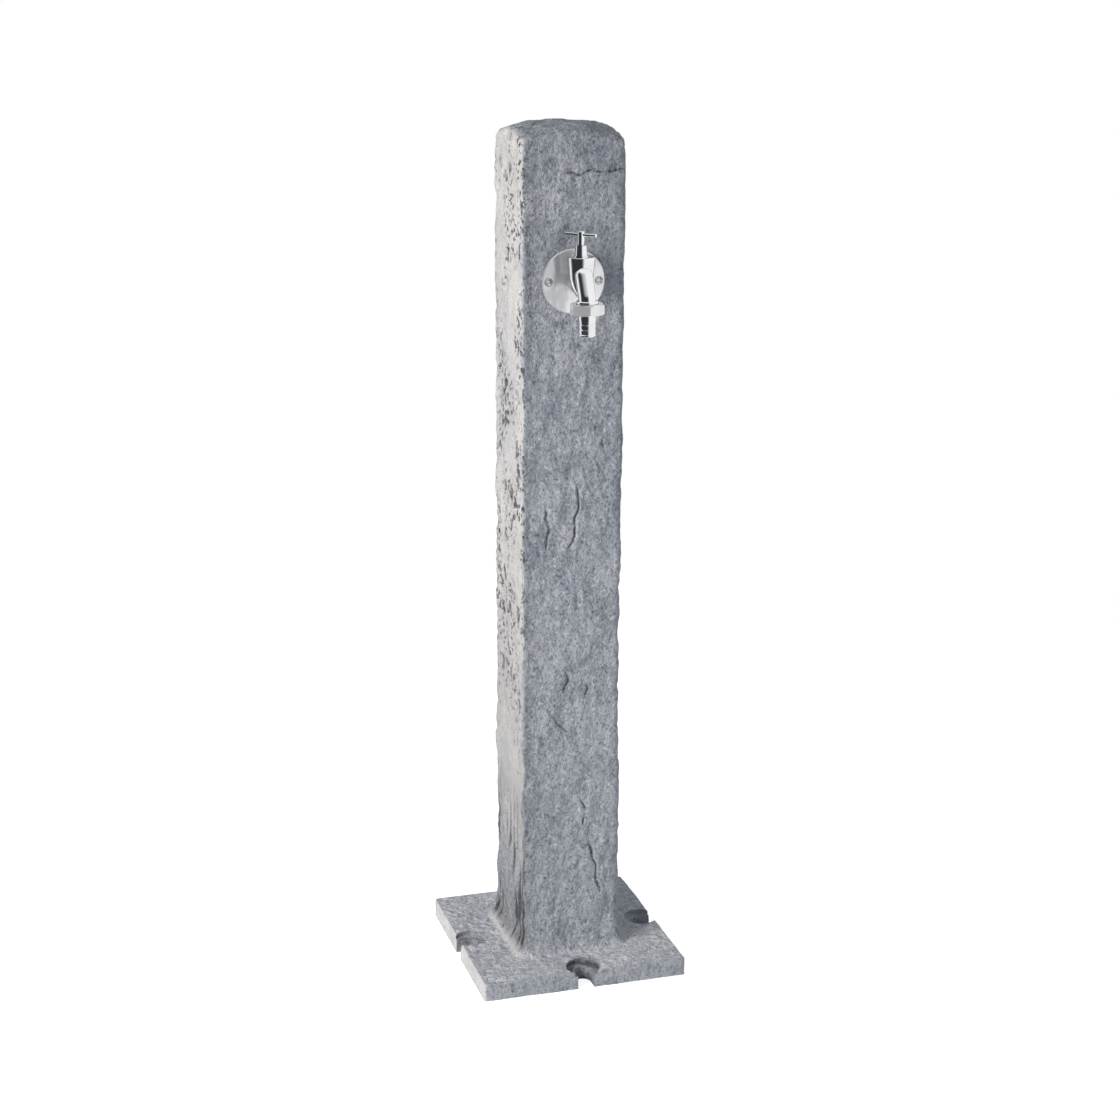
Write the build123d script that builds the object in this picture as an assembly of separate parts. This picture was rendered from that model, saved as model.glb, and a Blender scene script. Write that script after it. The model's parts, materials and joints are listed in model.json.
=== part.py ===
from build123d import *
import math
import os

# Garden standpipe: a hollow stone-look column in a square foot, with a chromed screw-down tap on
# its front and the supply pipe inside. Millimetres. The origin is on the ground in the middle of
# the foot, +Z is up and the tap faces -Y.

# Column
overall_height = 1000
post_width = 118
post_depth = 122
post_edge_radius = 8
wall = 6.5
crown_radius = 200
crown_edge_radius = 7
foot_flare = 12
base_width = 248
base_thickness = 22
base_corner_radius = 4
base_edge_radius = 2

# Anchor slots, one in the middle of each side of the foot
slot_width = 20
slot_inset = 15
slot_recess_radius = 20
slot_recess_depth = 5.5

# Holes in the front wall
inlet_hole_radius = 12
screw_hole_clearance = 0.3

# Tap: place and body
tap_below_top = 171
tap_side = -2
body_reach = 25.5
body_radius = 15.6
body_top = 31
body_waist_radius = 13.8
body_waist = 8
body_belly = 1.7
body_foot_radius = 4
body_foot_drop = 13.5
neck_radius = 11.4
body_rim_chamfer = 0.8
inlet_thread_radius = 10.45
inlet_thread_length = 22
inlet_bore_radius = 6.5
inlet_bore_end = 6
chamber_radius = 9
chamber_floor = 9
mouth_radius = 10.5
mouth_floor = 22
seat_radius = 7.2
seat_bore_radius = 5.5
seat_height = 1.5
seat_wall_depth = 2.2

# Spout: its axis leaves the body at the root point and bends straight down to the outlet
spout_radius = 9.35
spout_bore_radius = 6.2
spout_root_reach = 10.9
spout_root_rise = 11.6
spout_reach = 24
spout_bend_drop = 14
spout_bend_radius = 12
outlet_thread_radius = 13.2
outlet_collar_radius = 12
outlet_collar_drop = 13.3
outlet_collar = 3.2
outlet_face_drop = 21.7

# Union nut, hose tail and its washer, hung on the outlet axis
nut_flats = 34.5
nut_height = 11.6
nut_lip = 2.2
nut_turn = 37
tail_radius = 9.65
tail_neck_radius = 9.9
tail_neck_below_nut = 0.3
tail_bore_radius = 6.5
tail_flange_radius = 12.9
tail_flange = 2.2
tail_drop = 52
tail_rim = 1.6
tail_rim_chamfer = 0.7
tail_barbs = 3
tail_barb_pitch = 5.4
tail_barb_depth = 0.7
tail_barb_taper_share = 0.85
tail_washer_radius = 12.6
tail_washer_bore_radius = 7.5

# Headpiece: bonnet, spindle, piston and their seals
bonnet_gasket_thickness = 1
bonnet_sleeve_radius = 7.6
bonnet_sleeve = 3
bonnet_ring_radius = 8
bonnet_ring = 1.2
bonnet_collar_radius = 6.9
bonnet_collar_top_radius = 6.2
bonnet_collar = 11.3
circlip_recess = 1.2
circlip_recess_radius = 5.3
circlip_radius = 5
circlip_thickness = 0.7
circlip_groove_depth = 0.7
circlip_gap = 2.4
spindle_radius = 3.8
spindle_top = 58.8
spindle_head_edge = 1.5
spindle_flange_radius = 5.2
spindle_flange = 1.6
spindle_thread_radius = 3
spindle_thread_engaged = 3.5
o_ring_groove_depth = 0.9
o_ring_height = 34.4
o_ring_pitch = 3
handle_height = 54.8
handle_length = 37.5
handle_radius = 2
handle_end_chamfer = 0.3
handle_angle = -46.3
valve_washer_radius = 7
valve_washer_thickness = 2.5
piston_disc_radius = 7.6
piston_disc = 2
piston_flats = 11
piston_bore_spare = 0.2
piston_web = 0.7
valve_lift = 4.5
washer_screw_radius = 1.5
washer_screw_head_radius = 2.8
washer_screw_head = 1.5
washer_screw_length = 5

# Plate on the wall and what fixes it
gasket_thickness = 1
rosette_radius = 35.9
rosette_thickness = 3
rosette_bevel = 0.9
rosette_screw_reach = 29
rosette_screw_radius = 2
rosette_screw_head_radius = 4.2
rosette_screw_head = 2.4
rosette_screw_length = 20
screw_slot_width = 1
screw_slot_depth = 1.1

# Elbow behind the wall
plate_corner_gap = 4.5
plate_height = 64
plate_thickness = 3
plate_corner_radius = 5
elbow_flange = 4
elbow_screw_reach = 19
elbow_ear_radius = 7
elbow_boss_radius = 14
elbow_boss = 7
elbow_seal_thickness = 1
elbow_seal_bore_radius = 7
elbow_leg_radius = 12
elbow_bore_radius = 6.5
elbow_bend_radius = 13
elbow_reach = 31.5
elbow_leg_drop = 22
elbow_screw_radius = 2.5
elbow_screw_head_radius = 4.6
elbow_screw_head = 2.6
elbow_screw_head_edge = 1.2

# Riser pipe, its compression fittings and the supply nipple
pipe_radius = 7.5
pipe_wall = 1
compression_thread_radius = 10.5
compression_spigot = 12
compression_nut_flats = 24
compression_nut_height = 16
compression_nut_overlap = 8
compression_lip = 4
olive_radius = 9
olive_crown = 0.8
supply_thread_radius = 13.2
supply_thread_length = 14
supply_thread_foot = 8
supply_bore_radius = 6.5
supply_hex_flats = 30
supply_hex_height = 9

# Pipe clips on bosses inside the front wall
clip_height_shares = (0.34, 0.68)
clip_wall = 2.6
clip_height = 14
clip_mouth = 11
clip_stem_width = 12
clip_boss_radius = 6
clip_boss_length = 5
clip_screw_radius = 1.8
clip_screw_head_radius = 3.6
clip_screw_head = 2
clip_screw_length = 15

# Clearances and cutting
slide_clearance = 0.05
thread_chamfer = 0.8
cut_overrun = 5

# Places worked out from the sizes above
tap_height = overall_height - tap_below_top
wall_front = -post_depth / 2
rosette_face = gasket_thickness + rosette_thickness
tap_y = wall_front - rosette_face - body_reach
outlet_y = tap_y - spout_reach
riser_y = wall_front + elbow_reach
nut_top_drop = outlet_collar_drop + outlet_collar
nut_bottom_drop = nut_top_drop + nut_height
tail_flange_top_drop = nut_bottom_drop - nut_lip - tail_flange
washer_rest = chamber_floor + seat_height
piston_foot = washer_rest + valve_washer_thickness
piston_bore_floor = piston_foot + washer_screw_length - valve_washer_thickness + piston_web
piston_top = piston_bore_floor + valve_lift + spindle_thread_engaged + piston_bore_spare
spindle_foot = piston_top - spindle_thread_engaged
bonnet_foot = mouth_floor + bonnet_gasket_thickness
collar_foot = body_top + bonnet_ring
collar_top = collar_foot + bonnet_collar

wall_frame = Plane(origin=(tap_side, wall_front, tap_height), x_dir=(1, 0, 0), z_dir=(0, -1, 0))
tap_frame = Plane(origin=(tap_side, tap_y, tap_height))
outlet_frame = Plane(origin=(tap_side, outlet_y, tap_height), x_dir=(1, 0, 0), z_dir=(0, 0, -1))
riser_frame = Plane(origin=(tap_side, riser_y, 0))
upper_joint = Plane(
    origin=(tap_side, riser_y, tap_height - elbow_leg_drop - compression_spigot),
    x_dir=(1, 0, 0),
    z_dir=(0, 0, -1),
)
supply_hex_foot = supply_thread_foot + supply_thread_length
supply_hex_top = supply_hex_foot + supply_hex_height
lower_joint = Plane(origin=(tap_side, riser_y, supply_hex_top + compression_spigot))
neck_frame = Plane(origin=(0, 0, 0), x_dir=(1, 0, 0), z_dir=(0, 1, 0))
inlet_end = rosette_face - inlet_thread_length
elbow_face = -wall - plate_thickness
plate_width = post_width - 2 * (wall + post_edge_radius + plate_corner_gap)
elbow_back = elbow_face - elbow_flange


def rod(radius, bottom, top):
    """Round bar along Z."""
    return Pos(0, 0, bottom) * extrude(Circle(radius), top - bottom)


def tube(radius, bore, bottom, top):
    """Round tube along Z."""
    return Pos(0, 0, bottom) * extrude(Circle(radius) - Circle(bore), top - bottom)


def hexagon(flats, bottom, top, turn=0):
    """Hexagonal bar along Z with a corner at the given angle."""
    outline = RegularPolygon(flats / 2, 6, major_radius=False, rotation=turn)
    return Pos(0, 0, bottom) * extrude(outline, top - bottom)


def turned(outline):
    """Solid turned about Z from (radius, height) corners."""
    return revolve(make_face(Plane.XZ * Polyline(*outline, close=True)), Axis.Z)


def vault(width, depth, edge_radius, height, dome_radius):
    """Upright block with rounded corners under a domed top."""
    block = extrude(RectangleRounded(width, depth, edge_radius), height)
    dome = Pos(0, 0, height - dome_radius) * Rot(X=90) * Sphere(dome_radius)
    cap = Pos(0, 0, height - dome_radius) * extrude(Rectangle(2 * width, 2 * depth), 2 * dome_radius)
    return block - (cap - dome)


def hex_blank(flats, bottom, top, turn=0):
    """Hexagonal bar along Z with the corners of both ends turned off."""
    corner = flats / math.sqrt(3)
    slope = (corner - flats / 2) / 2
    turned_off = turned([
        (0, bottom), (flats / 2, bottom), (corner, bottom + slope),
        (corner, top - slope), (flats / 2, top), (0, top),
    ])
    return hexagon(flats, bottom, top, turn) & turned_off


def anchor_slots():
    """Cuts for the four open-ended slots and the shallow round recess over each."""
    centre = base_width / 2 - slot_inset
    slot = rod(slot_width / 2, -cut_overrun, base_thickness + cut_overrun)
    run = extrude(Rectangle(slot_inset + cut_overrun, slot_width, align=(Align.MIN, Align.CENTER)),
                  base_thickness + 2 * cut_overrun)
    slot += Pos(0, 0, -cut_overrun) * run
    step = base_thickness - slot_recess_depth
    recess = rod(slot_recess_radius, step, base_thickness + cut_overrun)
    cut = Pos(centre, 0, 0) * (slot + recess)
    return [Rot(Z=90 * side) * cut for side in range(4)]


def clip_heights():
    """Heights of the pipe clips along the riser."""
    return [share * tap_height for share in clip_height_shares]


def post_block():
    """Solid of the column's outer shape under its rounded dome."""
    post = vault(post_width, post_depth, post_edge_radius, overall_height, crown_radius)
    return fillet(post.faces().sort_by(Axis.Z)[-1].edges(), crown_edge_radius)


def column():
    """Hollow square column, open below, with the clip bosses and the holes for the tap."""
    shell = post_block() - vault(post_width - 2 * wall, post_depth - 2 * wall, post_edge_radius,
                                 overall_height - wall, crown_radius - wall)
    boss = rod(clip_boss_radius, -wall - clip_boss_length, -wall + slide_clearance)
    pilot = rod(clip_screw_radius, -wall - clip_boss_length - cut_overrun, -wall / 2)
    for height in clip_heights():
        place = Plane(origin=(tap_side, wall_front, height), x_dir=(1, 0, 0), z_dir=(0, -1, 0))
        shell += place * boss
        shell -= place * pilot
    shell -= wall_frame * rod(inlet_hole_radius, -wall - cut_overrun, cut_overrun)
    hole = rod(rosette_screw_radius + screw_hole_clearance, -wall - cut_overrun, cut_overrun)
    for side in (-1, 1):
        shell -= wall_frame * Pos(side * rosette_screw_reach, 0, 0) * hole
    return shell


def foot():
    """Square slab cast round the column's lower end, with a cove up against it and four slots."""
    plate = extrude(RectangleRounded(base_width, base_width, base_corner_radius), base_thickness)
    plate = fillet(plate.faces().sort_by(Axis.Z)[-1].edges(), base_edge_radius)
    slab = plate + extrude(RectangleRounded(post_width, post_depth, post_edge_radius),
                           base_thickness + 2 * foot_flare)
    half_plate = base_width / 2 - base_edge_radius - base_corner_radius
    root = [
        edge for edge in slab.edges()
        if abs(edge.center().Z - base_thickness) < slide_clearance
        and max(abs(edge.center().X), abs(edge.center().Y)) < half_plate - foot_flare
    ]
    slab = fillet(root, foot_flare)
    slab -= extrude(RectangleRounded(post_width, post_depth, post_edge_radius), overall_height)
    for cut in anchor_slots():
        slab -= cut
    return slab


def plate_holes(screw_radius, bottom, top):
    """Holes for the tap's inlet and the two screws, in the wall's frame."""
    hole = rod(screw_radius, bottom, top)
    cuts = [Pos(side * rosette_screw_reach, 0, 0) * hole for side in (-1, 1)]
    return cuts + [rod(inlet_thread_radius + screw_hole_clearance, bottom, top)]


def rosette_gasket():
    """Flat gasket between the wall and the round plate."""
    gasket = rod(rosette_radius - rosette_bevel, 0, gasket_thickness)
    for hole in plate_holes(rosette_screw_radius + screw_hole_clearance, -cut_overrun, cut_overrun):
        gasket -= hole
    return wall_frame * gasket


def countersunk(radius, head_radius, head, length, top):
    """Countersunk screw along Z, head up."""
    return turned([
        (0, top), (head_radius, top), (radius, top - head),
        (radius, top - length + radius), (0, top - length),
    ])


def rosette():
    """Round steel plate with a bevelled rim and two countersunk holes."""
    plate = rod(rosette_radius, gasket_thickness, rosette_face)
    plate = chamfer(plate.edges().sort_by(Axis.Z)[-1], rosette_bevel)
    for hole in plate_holes(rosette_screw_radius + screw_hole_clearance, 0, rosette_face + cut_overrun):
        plate -= hole
    sink = turned([
        (0, rosette_face), (rosette_screw_head_radius, rosette_face),
        (rosette_screw_radius, rosette_face - rosette_screw_head),
        (0, rosette_face - rosette_screw_head),
    ])
    for side in (-1, 1):
        plate -= Pos(side * rosette_screw_reach, 0, 0) * sink
    return wall_frame * plate


def rosette_screws():
    """Two slotted countersunk screws, flush with the round plate."""
    screw = countersunk(rosette_screw_radius, rosette_screw_head_radius, rosette_screw_head,
                        rosette_screw_length, rosette_face)
    slot = extrude(Rectangle(2 * rosette_screw_head_radius + cut_overrun, screw_slot_width), cut_overrun)
    screw -= Pos(0, 0, rosette_face - screw_slot_depth) * slot
    return [wall_frame * Pos(side * rosette_screw_reach, 0, 0) * screw for side in (-1, 1)]


def bent_bar(radius, corners, bend_radius):
    """Round bar along straight runs joined by bends."""
    path = FilletPolyline(*corners, radius=bend_radius)
    return sweep(Plane(origin=path @ 0, z_dir=path % 0) * Circle(radius), path=path)


def spout(radius, drop):
    """Spout in the tap's frame: a ball inside the body, a slanting run, then straight down."""
    root = (0, -spout_root_reach, spout_root_rise)
    corners = [root, (0, -spout_reach, -spout_bend_drop), (0, -spout_reach, -drop)]
    return bent_bar(radius, corners, spout_bend_radius) + Pos(*root) * Sphere(radius)


def barrel():
    """Upright barrel that narrows a little downwards and closes in to a small foot."""
    waist = (body_waist_radius, body_waist)
    foot = (body_foot_radius, -body_foot_drop)
    side = Line((body_radius, body_top), waist)
    belly = SagittaArc(waist, foot, -body_belly)
    inside = Polyline(foot, (0, -body_foot_drop), (0, body_top), (body_radius, body_top))
    solid = revolve(make_face(Plane.XZ * (side + belly + inside)), Axis.Z)
    return chamfer(solid.edges().sort_by(Axis.Z)[-1], body_rim_chamfer)


def valve_body():
    """Barrel with the inlet neck behind, the spout cast on its front and the seat inside."""
    body = barrel() + neck_frame * rod(neck_radius, 0, body_reach)
    inlet = rod(inlet_thread_radius, body_reach - slide_clearance, body_reach + inlet_thread_length)
    body += neck_frame * chamfer(inlet.edges().sort_by(Axis.Z)[-1], thread_chamfer)
    body += spout(spout_radius, outlet_face_drop)
    outlet_place = Plane(origin=(0, -spout_reach, 0), x_dir=(1, 0, 0), z_dir=(0, 0, -1))
    collar = rod(outlet_collar_radius, outlet_collar_drop, nut_top_drop + thread_chamfer)
    collar = chamfer(collar.edges().sort_by(Axis.Z)[0], thread_chamfer)
    thread = rod(outlet_thread_radius, nut_top_drop + thread_chamfer, outlet_face_drop)
    thread = chamfer(thread.edges().group_by(Axis.Z)[0], thread_chamfer)
    body += outlet_place * (collar + thread)
    inlet_mouth = body_reach + inlet_thread_length
    body -= neck_frame * rod(inlet_bore_radius, -inlet_bore_end, inlet_mouth + cut_overrun)
    body -= spout(spout_bore_radius, outlet_face_drop + cut_overrun)
    body -= rod(chamber_radius, chamber_floor, body_top)
    body -= rod(mouth_radius, mouth_floor, body_top + cut_overrun)
    body += rod(seat_radius, chamber_floor - seat_wall_depth, washer_rest)
    body -= rod(seat_bore_radius, 0, washer_rest + cut_overrun)
    return tap_frame * body


def bonnet_gasket():
    """Fibre ring that the headpiece is screwed down on."""
    return tap_frame * tube(mouth_radius, chamber_radius, mouth_floor, bonnet_foot)


def bonnet():
    """Headpiece: threaded plug with a hexagonal guide for the piston and the gland collar on top."""
    piece = turned([
        (0, bonnet_foot - bonnet_sleeve), (bonnet_sleeve_radius, bonnet_foot - bonnet_sleeve),
        (bonnet_sleeve_radius, bonnet_foot), (mouth_radius, bonnet_foot), (mouth_radius, body_top),
        (bonnet_ring_radius, body_top), (bonnet_ring_radius, collar_foot),
        (bonnet_collar_radius, collar_foot), (bonnet_collar_top_radius, collar_top), (0, collar_top),
    ])
    piece -= hexagon(piston_flats + 2 * slide_clearance, bonnet_foot - bonnet_sleeve - cut_overrun, body_top)
    piece -= rod(spindle_radius + slide_clearance, body_top - cut_overrun, collar_top + cut_overrun)
    piece -= rod(circlip_recess_radius, collar_top - circlip_recess, collar_top + cut_overrun)
    return tap_frame * piece


def o_ring_heights():
    """Heights of the two seals on the spindle."""
    return [o_ring_height + step * o_ring_pitch for step in range(2)]


def spindle():
    """Turned spindle with a thread below its flange, seal and circlip grooves and a cross hole."""
    flange_top = body_top - slide_clearance
    piece = rod(spindle_thread_radius, spindle_foot, flange_top - spindle_flange)
    piece += rod(spindle_flange_radius, flange_top - spindle_flange, flange_top)
    stem = rod(spindle_radius, flange_top, spindle_top)
    piece += fillet(stem.edges().sort_by(Axis.Z)[-1], spindle_head_edge)
    groove_radius = spindle_radius - o_ring_groove_depth
    for height in o_ring_heights():
        half = o_ring_groove_depth / 2 + slide_clearance
        piece -= tube(spindle_radius + cut_overrun, groove_radius, height - half, height + half)
    clip_foot = collar_top - circlip_recess + slide_clearance
    piece -= tube(spindle_radius + cut_overrun, spindle_radius - circlip_groove_depth,
                  clip_foot, clip_foot + circlip_thickness)
    return tap_frame * (piece - cross_bar(handle_length + cut_overrun))


def cross_bar(length):
    """Round bar through the spindle's cross hole, in the tap's frame."""
    bar = extrude(Circle(handle_radius), length / 2, both=True)
    return Pos(0, 0, handle_height) * Rot(Z=handle_angle) * Rot(Y=90) * bar


def spindle_o_rings():
    """Two rubber rings seated in the spindle's grooves."""
    section = o_ring_groove_depth / 2
    ring = Torus(spindle_radius - section, section)
    return [tap_frame * Pos(0, 0, height) * ring for height in o_ring_heights()]


def spindle_circlip():
    """Open steel ring that sits in the collar's recess."""
    foot = collar_top - circlip_recess + slide_clearance
    ring = tube(circlip_radius, spindle_radius - circlip_groove_depth, foot, foot + circlip_thickness)
    gap = Pos(0, 0, foot) * extrude(
        Rectangle(circlip_radius + cut_overrun, circlip_gap, align=(Align.MIN, Align.CENTER)),
        circlip_thickness)
    return tap_frame * (ring - gap)


def handle_bar():
    """T-bar with slightly broken ends."""
    bar = cross_bar(handle_length)
    ends = bar.edges().filter_by(GeomType.CIRCLE)
    return tap_frame * chamfer(ends, handle_end_chamfer)


def valve_piston():
    """Disc with a hexagonal stem, bored for the spindle's thread and for the washer's screw."""
    piece = rod(piston_disc_radius, piston_foot, piston_foot + piston_disc)
    piece += hexagon(piston_flats, piston_foot, piston_top)
    piece -= rod(spindle_thread_radius + slide_clearance, piston_bore_floor, piston_top + cut_overrun)
    piece -= rod(washer_screw_radius, piston_foot - cut_overrun, piston_bore_floor - piston_web)
    return tap_frame * piece


def valve_washer():
    """Rubber disc that closes the seat."""
    return tap_frame * tube(valve_washer_radius, washer_screw_radius, washer_rest, piston_foot)


def washer_screw():
    """Small screw under the washer, its head inside the seat's bore."""
    piece = rod(washer_screw_head_radius, washer_rest - washer_screw_head, washer_rest)
    piece += rod(washer_screw_radius, washer_rest, washer_rest + washer_screw_length)
    return tap_frame * piece


def union_nut():
    """Hexagonal nut, threaded above and with a lip under the tail's flange."""
    nut = hex_blank(nut_flats, nut_top_drop, nut_bottom_drop, nut_turn)
    nut -= rod(outlet_thread_radius + slide_clearance, nut_top_drop - cut_overrun, nut_bottom_drop - nut_lip)
    nut -= rod(tail_neck_radius + slide_clearance, nut_top_drop, nut_bottom_drop + cut_overrun)
    return outlet_frame * nut


def hose_tail():
    """Flanged tail with a neck for the nut to turn on, three saw-tooth barbs and a rim."""
    top = tail_flange_top_drop
    neck_end = nut_bottom_drop + tail_neck_below_nut
    barb_start = tail_drop - tail_rim - tail_barbs * tail_barb_pitch
    outline = [
        (tail_bore_radius, top), (tail_flange_radius, top), (tail_flange_radius, top + tail_flange),
        (tail_neck_radius, top + tail_flange), (tail_neck_radius, neck_end),
        (tail_radius, neck_end), (tail_radius, barb_start),
    ]
    for barb in range(tail_barbs):
        start = barb_start + barb * tail_barb_pitch
        outline.append((tail_radius - tail_barb_depth, start + tail_barb_taper_share * tail_barb_pitch))
        outline.append((tail_radius, start + tail_barb_pitch))
    outline.append((tail_radius, tail_drop - tail_rim_chamfer))
    outline.append((tail_radius - tail_rim_chamfer, tail_drop))
    outline.append((tail_bore_radius, tail_drop))
    return outlet_frame * turned(outline)


def hose_tail_washer():
    """Flat rubber seal between the spout's end and the tail."""
    return outlet_frame * tube(tail_washer_radius, tail_washer_bore_radius,
                               outlet_face_drop, tail_flange_top_drop)


def backing_plate():
    """Steel plate inside the front wall that takes the round plate's screws."""
    plate = Pos(0, 0, elbow_face) * extrude(
        RectangleRounded(plate_width, plate_height, plate_corner_radius), plate_thickness)
    for hole in plate_holes(rosette_screw_radius, elbow_face - cut_overrun, 0):
        plate -= hole
    for side in (-1, 1):
        plate -= Pos(0, side * elbow_screw_reach, 0) * rod(elbow_screw_radius, elbow_face - cut_overrun, 0)
    return wall_frame * plate


def elbow_run(radius, drop):
    """Bent run of the elbow from its flange's back to the given drop below the tap's height."""
    flange_back = (tap_side, wall_front - elbow_back, tap_height)
    bottom = (tap_side, riser_y, tap_height - drop)
    corners = [flange_back, (tap_side, riser_y, tap_height), bottom]
    return bent_bar(radius, corners, elbow_bend_radius)


def wall_elbow():
    """Brass elbow: flange with two ears, socket for the tap and a leg down to the riser."""
    flange = Circle(elbow_boss_radius)
    flange += Rot(Z=90) * SlotCenterToCenter(2 * elbow_screw_reach, 2 * elbow_ear_radius)
    piece = Pos(0, 0, elbow_back) * extrude(flange, elbow_flange)
    for side in (-1, 1):
        hole = rod(elbow_screw_radius, elbow_back - cut_overrun, 0)
        piece -= Pos(0, side * elbow_screw_reach, 0) * hole
    piece += rod(elbow_boss_radius, elbow_back - elbow_boss, elbow_back)
    mouth = elbow_leg_drop + compression_spigot
    leg = Plane(origin=(tap_side, riser_y, tap_height), x_dir=(1, 0, 0), z_dir=(0, 0, -1))
    spigot = rod(compression_thread_radius, elbow_leg_drop, mouth)
    spigot = chamfer(spigot.edges().sort_by(Axis.Z)[-1], thread_chamfer)
    piece = wall_frame * piece + elbow_run(elbow_leg_radius, elbow_leg_drop) + leg * spigot
    piece -= elbow_run(elbow_bore_radius, mouth + cut_overrun)
    socket_floor = inlet_end - elbow_seal_thickness
    piece -= wall_frame * rod(inlet_thread_radius + slide_clearance, socket_floor, cut_overrun)
    return piece - leg * rod(pipe_radius + slide_clearance, elbow_leg_drop, mouth + cut_overrun)


def elbow_screws():
    """Two pan-head screws through the elbow's ears into the plate."""
    head = rod(elbow_screw_head_radius, elbow_back - elbow_screw_head, elbow_back)
    head = fillet(head.edges().sort_by(Axis.Z)[0], elbow_screw_head_edge)
    slot = extrude(Rectangle(2 * elbow_screw_head_radius + cut_overrun, screw_slot_width), screw_slot_depth)
    screw = head - Pos(0, 0, elbow_back - elbow_screw_head) * slot
    screw += rod(elbow_screw_radius, elbow_back, -wall - slide_clearance)
    return [wall_frame * Pos(0, side * elbow_screw_reach, 0) * screw for side in (-1, 1)]


def elbow_seal():
    """Fibre ring between the tap's inlet and the floor of the elbow's socket."""
    ring = tube(inlet_thread_radius, elbow_seal_bore_radius, inlet_end - elbow_seal_thickness, inlet_end)
    return wall_frame * ring


def compression_nut():
    """Hexagonal nut over a fitting's mouth, in the joint's frame with +Z along the pipe."""
    bottom = -compression_nut_overlap
    top = bottom + compression_nut_height
    nut = hex_blank(compression_nut_flats, bottom, top)
    nut -= rod(compression_thread_radius + slide_clearance, bottom - cut_overrun, top - compression_lip)
    return nut - rod(pipe_radius + slide_clearance, bottom, top + cut_overrun)


def olive():
    """Brass ring squeezed between the fitting's mouth and the nut's lip."""
    height = compression_nut_height - compression_nut_overlap - compression_lip
    return turned([
        (pipe_radius, 0), (olive_radius, 0), (olive_radius + olive_crown, height / 2),
        (olive_radius, height), (pipe_radius, height),
    ])


def riser_pipe():
    """Copper pipe from the supply nipple up to the elbow."""
    return riser_frame * tube(pipe_radius, pipe_radius - pipe_wall, supply_hex_top,
                              tap_height - elbow_leg_drop)


def supply_nipple():
    """Brass end with a pipe thread below, a hexagon and a compression mouth above."""
    mouth = supply_hex_top + compression_spigot
    thread = rod(supply_thread_radius, supply_thread_foot, supply_hex_foot)
    piece = chamfer(thread.edges().sort_by(Axis.Z)[0], thread_chamfer)
    piece += hex_blank(supply_hex_flats, supply_hex_foot, supply_hex_top)
    spigot = rod(compression_thread_radius, supply_hex_top, mouth)
    piece += chamfer(spigot.edges().sort_by(Axis.Z)[-1], thread_chamfer)
    piece -= rod(supply_bore_radius, supply_thread_foot - cut_overrun, mouth + cut_overrun)
    piece -= rod(pipe_radius + slide_clearance, supply_hex_top, mouth + cut_overrun)
    return riser_frame * piece


def pipe_clips():
    """Two open plastic clips that hold the riser off the front wall."""
    bore = pipe_radius + slide_clearance
    boss_face = wall_front + wall + clip_boss_length
    ring = Circle(bore + clip_wall)
    stem = Pos(0, (boss_face - riser_y) / 2) * Rectangle(clip_stem_width, riser_y - boss_face)
    mouth = Pos(0, bore) * Rectangle(clip_mouth, 2 * bore)
    clip = extrude(ring + stem - Circle(bore) - mouth, clip_height / 2, both=True)
    back = Plane(origin=(0, -bore, 0), x_dir=(1, 0, 0), z_dir=(0, 1, 0))
    depth = riser_y - boss_face
    clip -= back * rod(clip_screw_radius, -depth, bore)
    clip -= back * turned([
        (0, 0), (clip_screw_head_radius, 0), (clip_screw_radius, -clip_screw_head), (0, -clip_screw_head),
    ])
    return [Pos(tap_side, riser_y, height) * clip for height in clip_heights()]


def pipe_clip_screws():
    """One countersunk screw through each clip into its boss."""
    screw = countersunk(clip_screw_radius, clip_screw_head_radius, clip_screw_head, clip_screw_length, 0)
    seat = riser_y - pipe_radius - slide_clearance
    wall_side = Plane(origin=(tap_side, seat, 0), x_dir=(1, 0, 0), z_dir=(0, 1, 0))
    return [Pos(0, 0, height) * (wall_side * screw) for height in clip_heights()]


def main():
    """Write one file for each piece, or for each group of like fasteners."""
    pieces = {
        "column": column(),
        "foot": foot(),
        "rosette": rosette(),
        "rosette_gasket": rosette_gasket(),
        "rosette_screws": rosette_screws(),
        "valve_body": valve_body(),
        "bonnet": bonnet(),
        "bonnet_gasket": bonnet_gasket(),
        "spindle": spindle(),
        "spindle_o_rings": spindle_o_rings(),
        "spindle_circlip": spindle_circlip(),
        "handle_bar": handle_bar(),
        "valve_piston": valve_piston(),
        "valve_washer": valve_washer(),
        "washer_screw": washer_screw(),
        "union_nut": union_nut(),
        "hose_tail": hose_tail(),
        "hose_tail_washer": hose_tail_washer(),
        "backing_plate": backing_plate(),
        "wall_elbow": wall_elbow(),
        "elbow_screws": elbow_screws(),
        "elbow_seal": elbow_seal(),
        "riser_pipe": riser_pipe(),
        "upper_compression_nut": upper_joint * compression_nut(),
        "upper_olive": upper_joint * olive(),
        "lower_compression_nut": lower_joint * compression_nut(),
        "lower_olive": lower_joint * olive(),
        "supply_nipple": supply_nipple(),
        "pipe_clips": pipe_clips(),
        "pipe_clip_screws": pipe_clip_screws(),
    }
    os.makedirs("parts", exist_ok=True)
    for name, piece in pieces.items():
        if isinstance(piece, list):
            piece = Compound(children=piece)
        export_step(piece, f"parts/{name}.step")


main()
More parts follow.
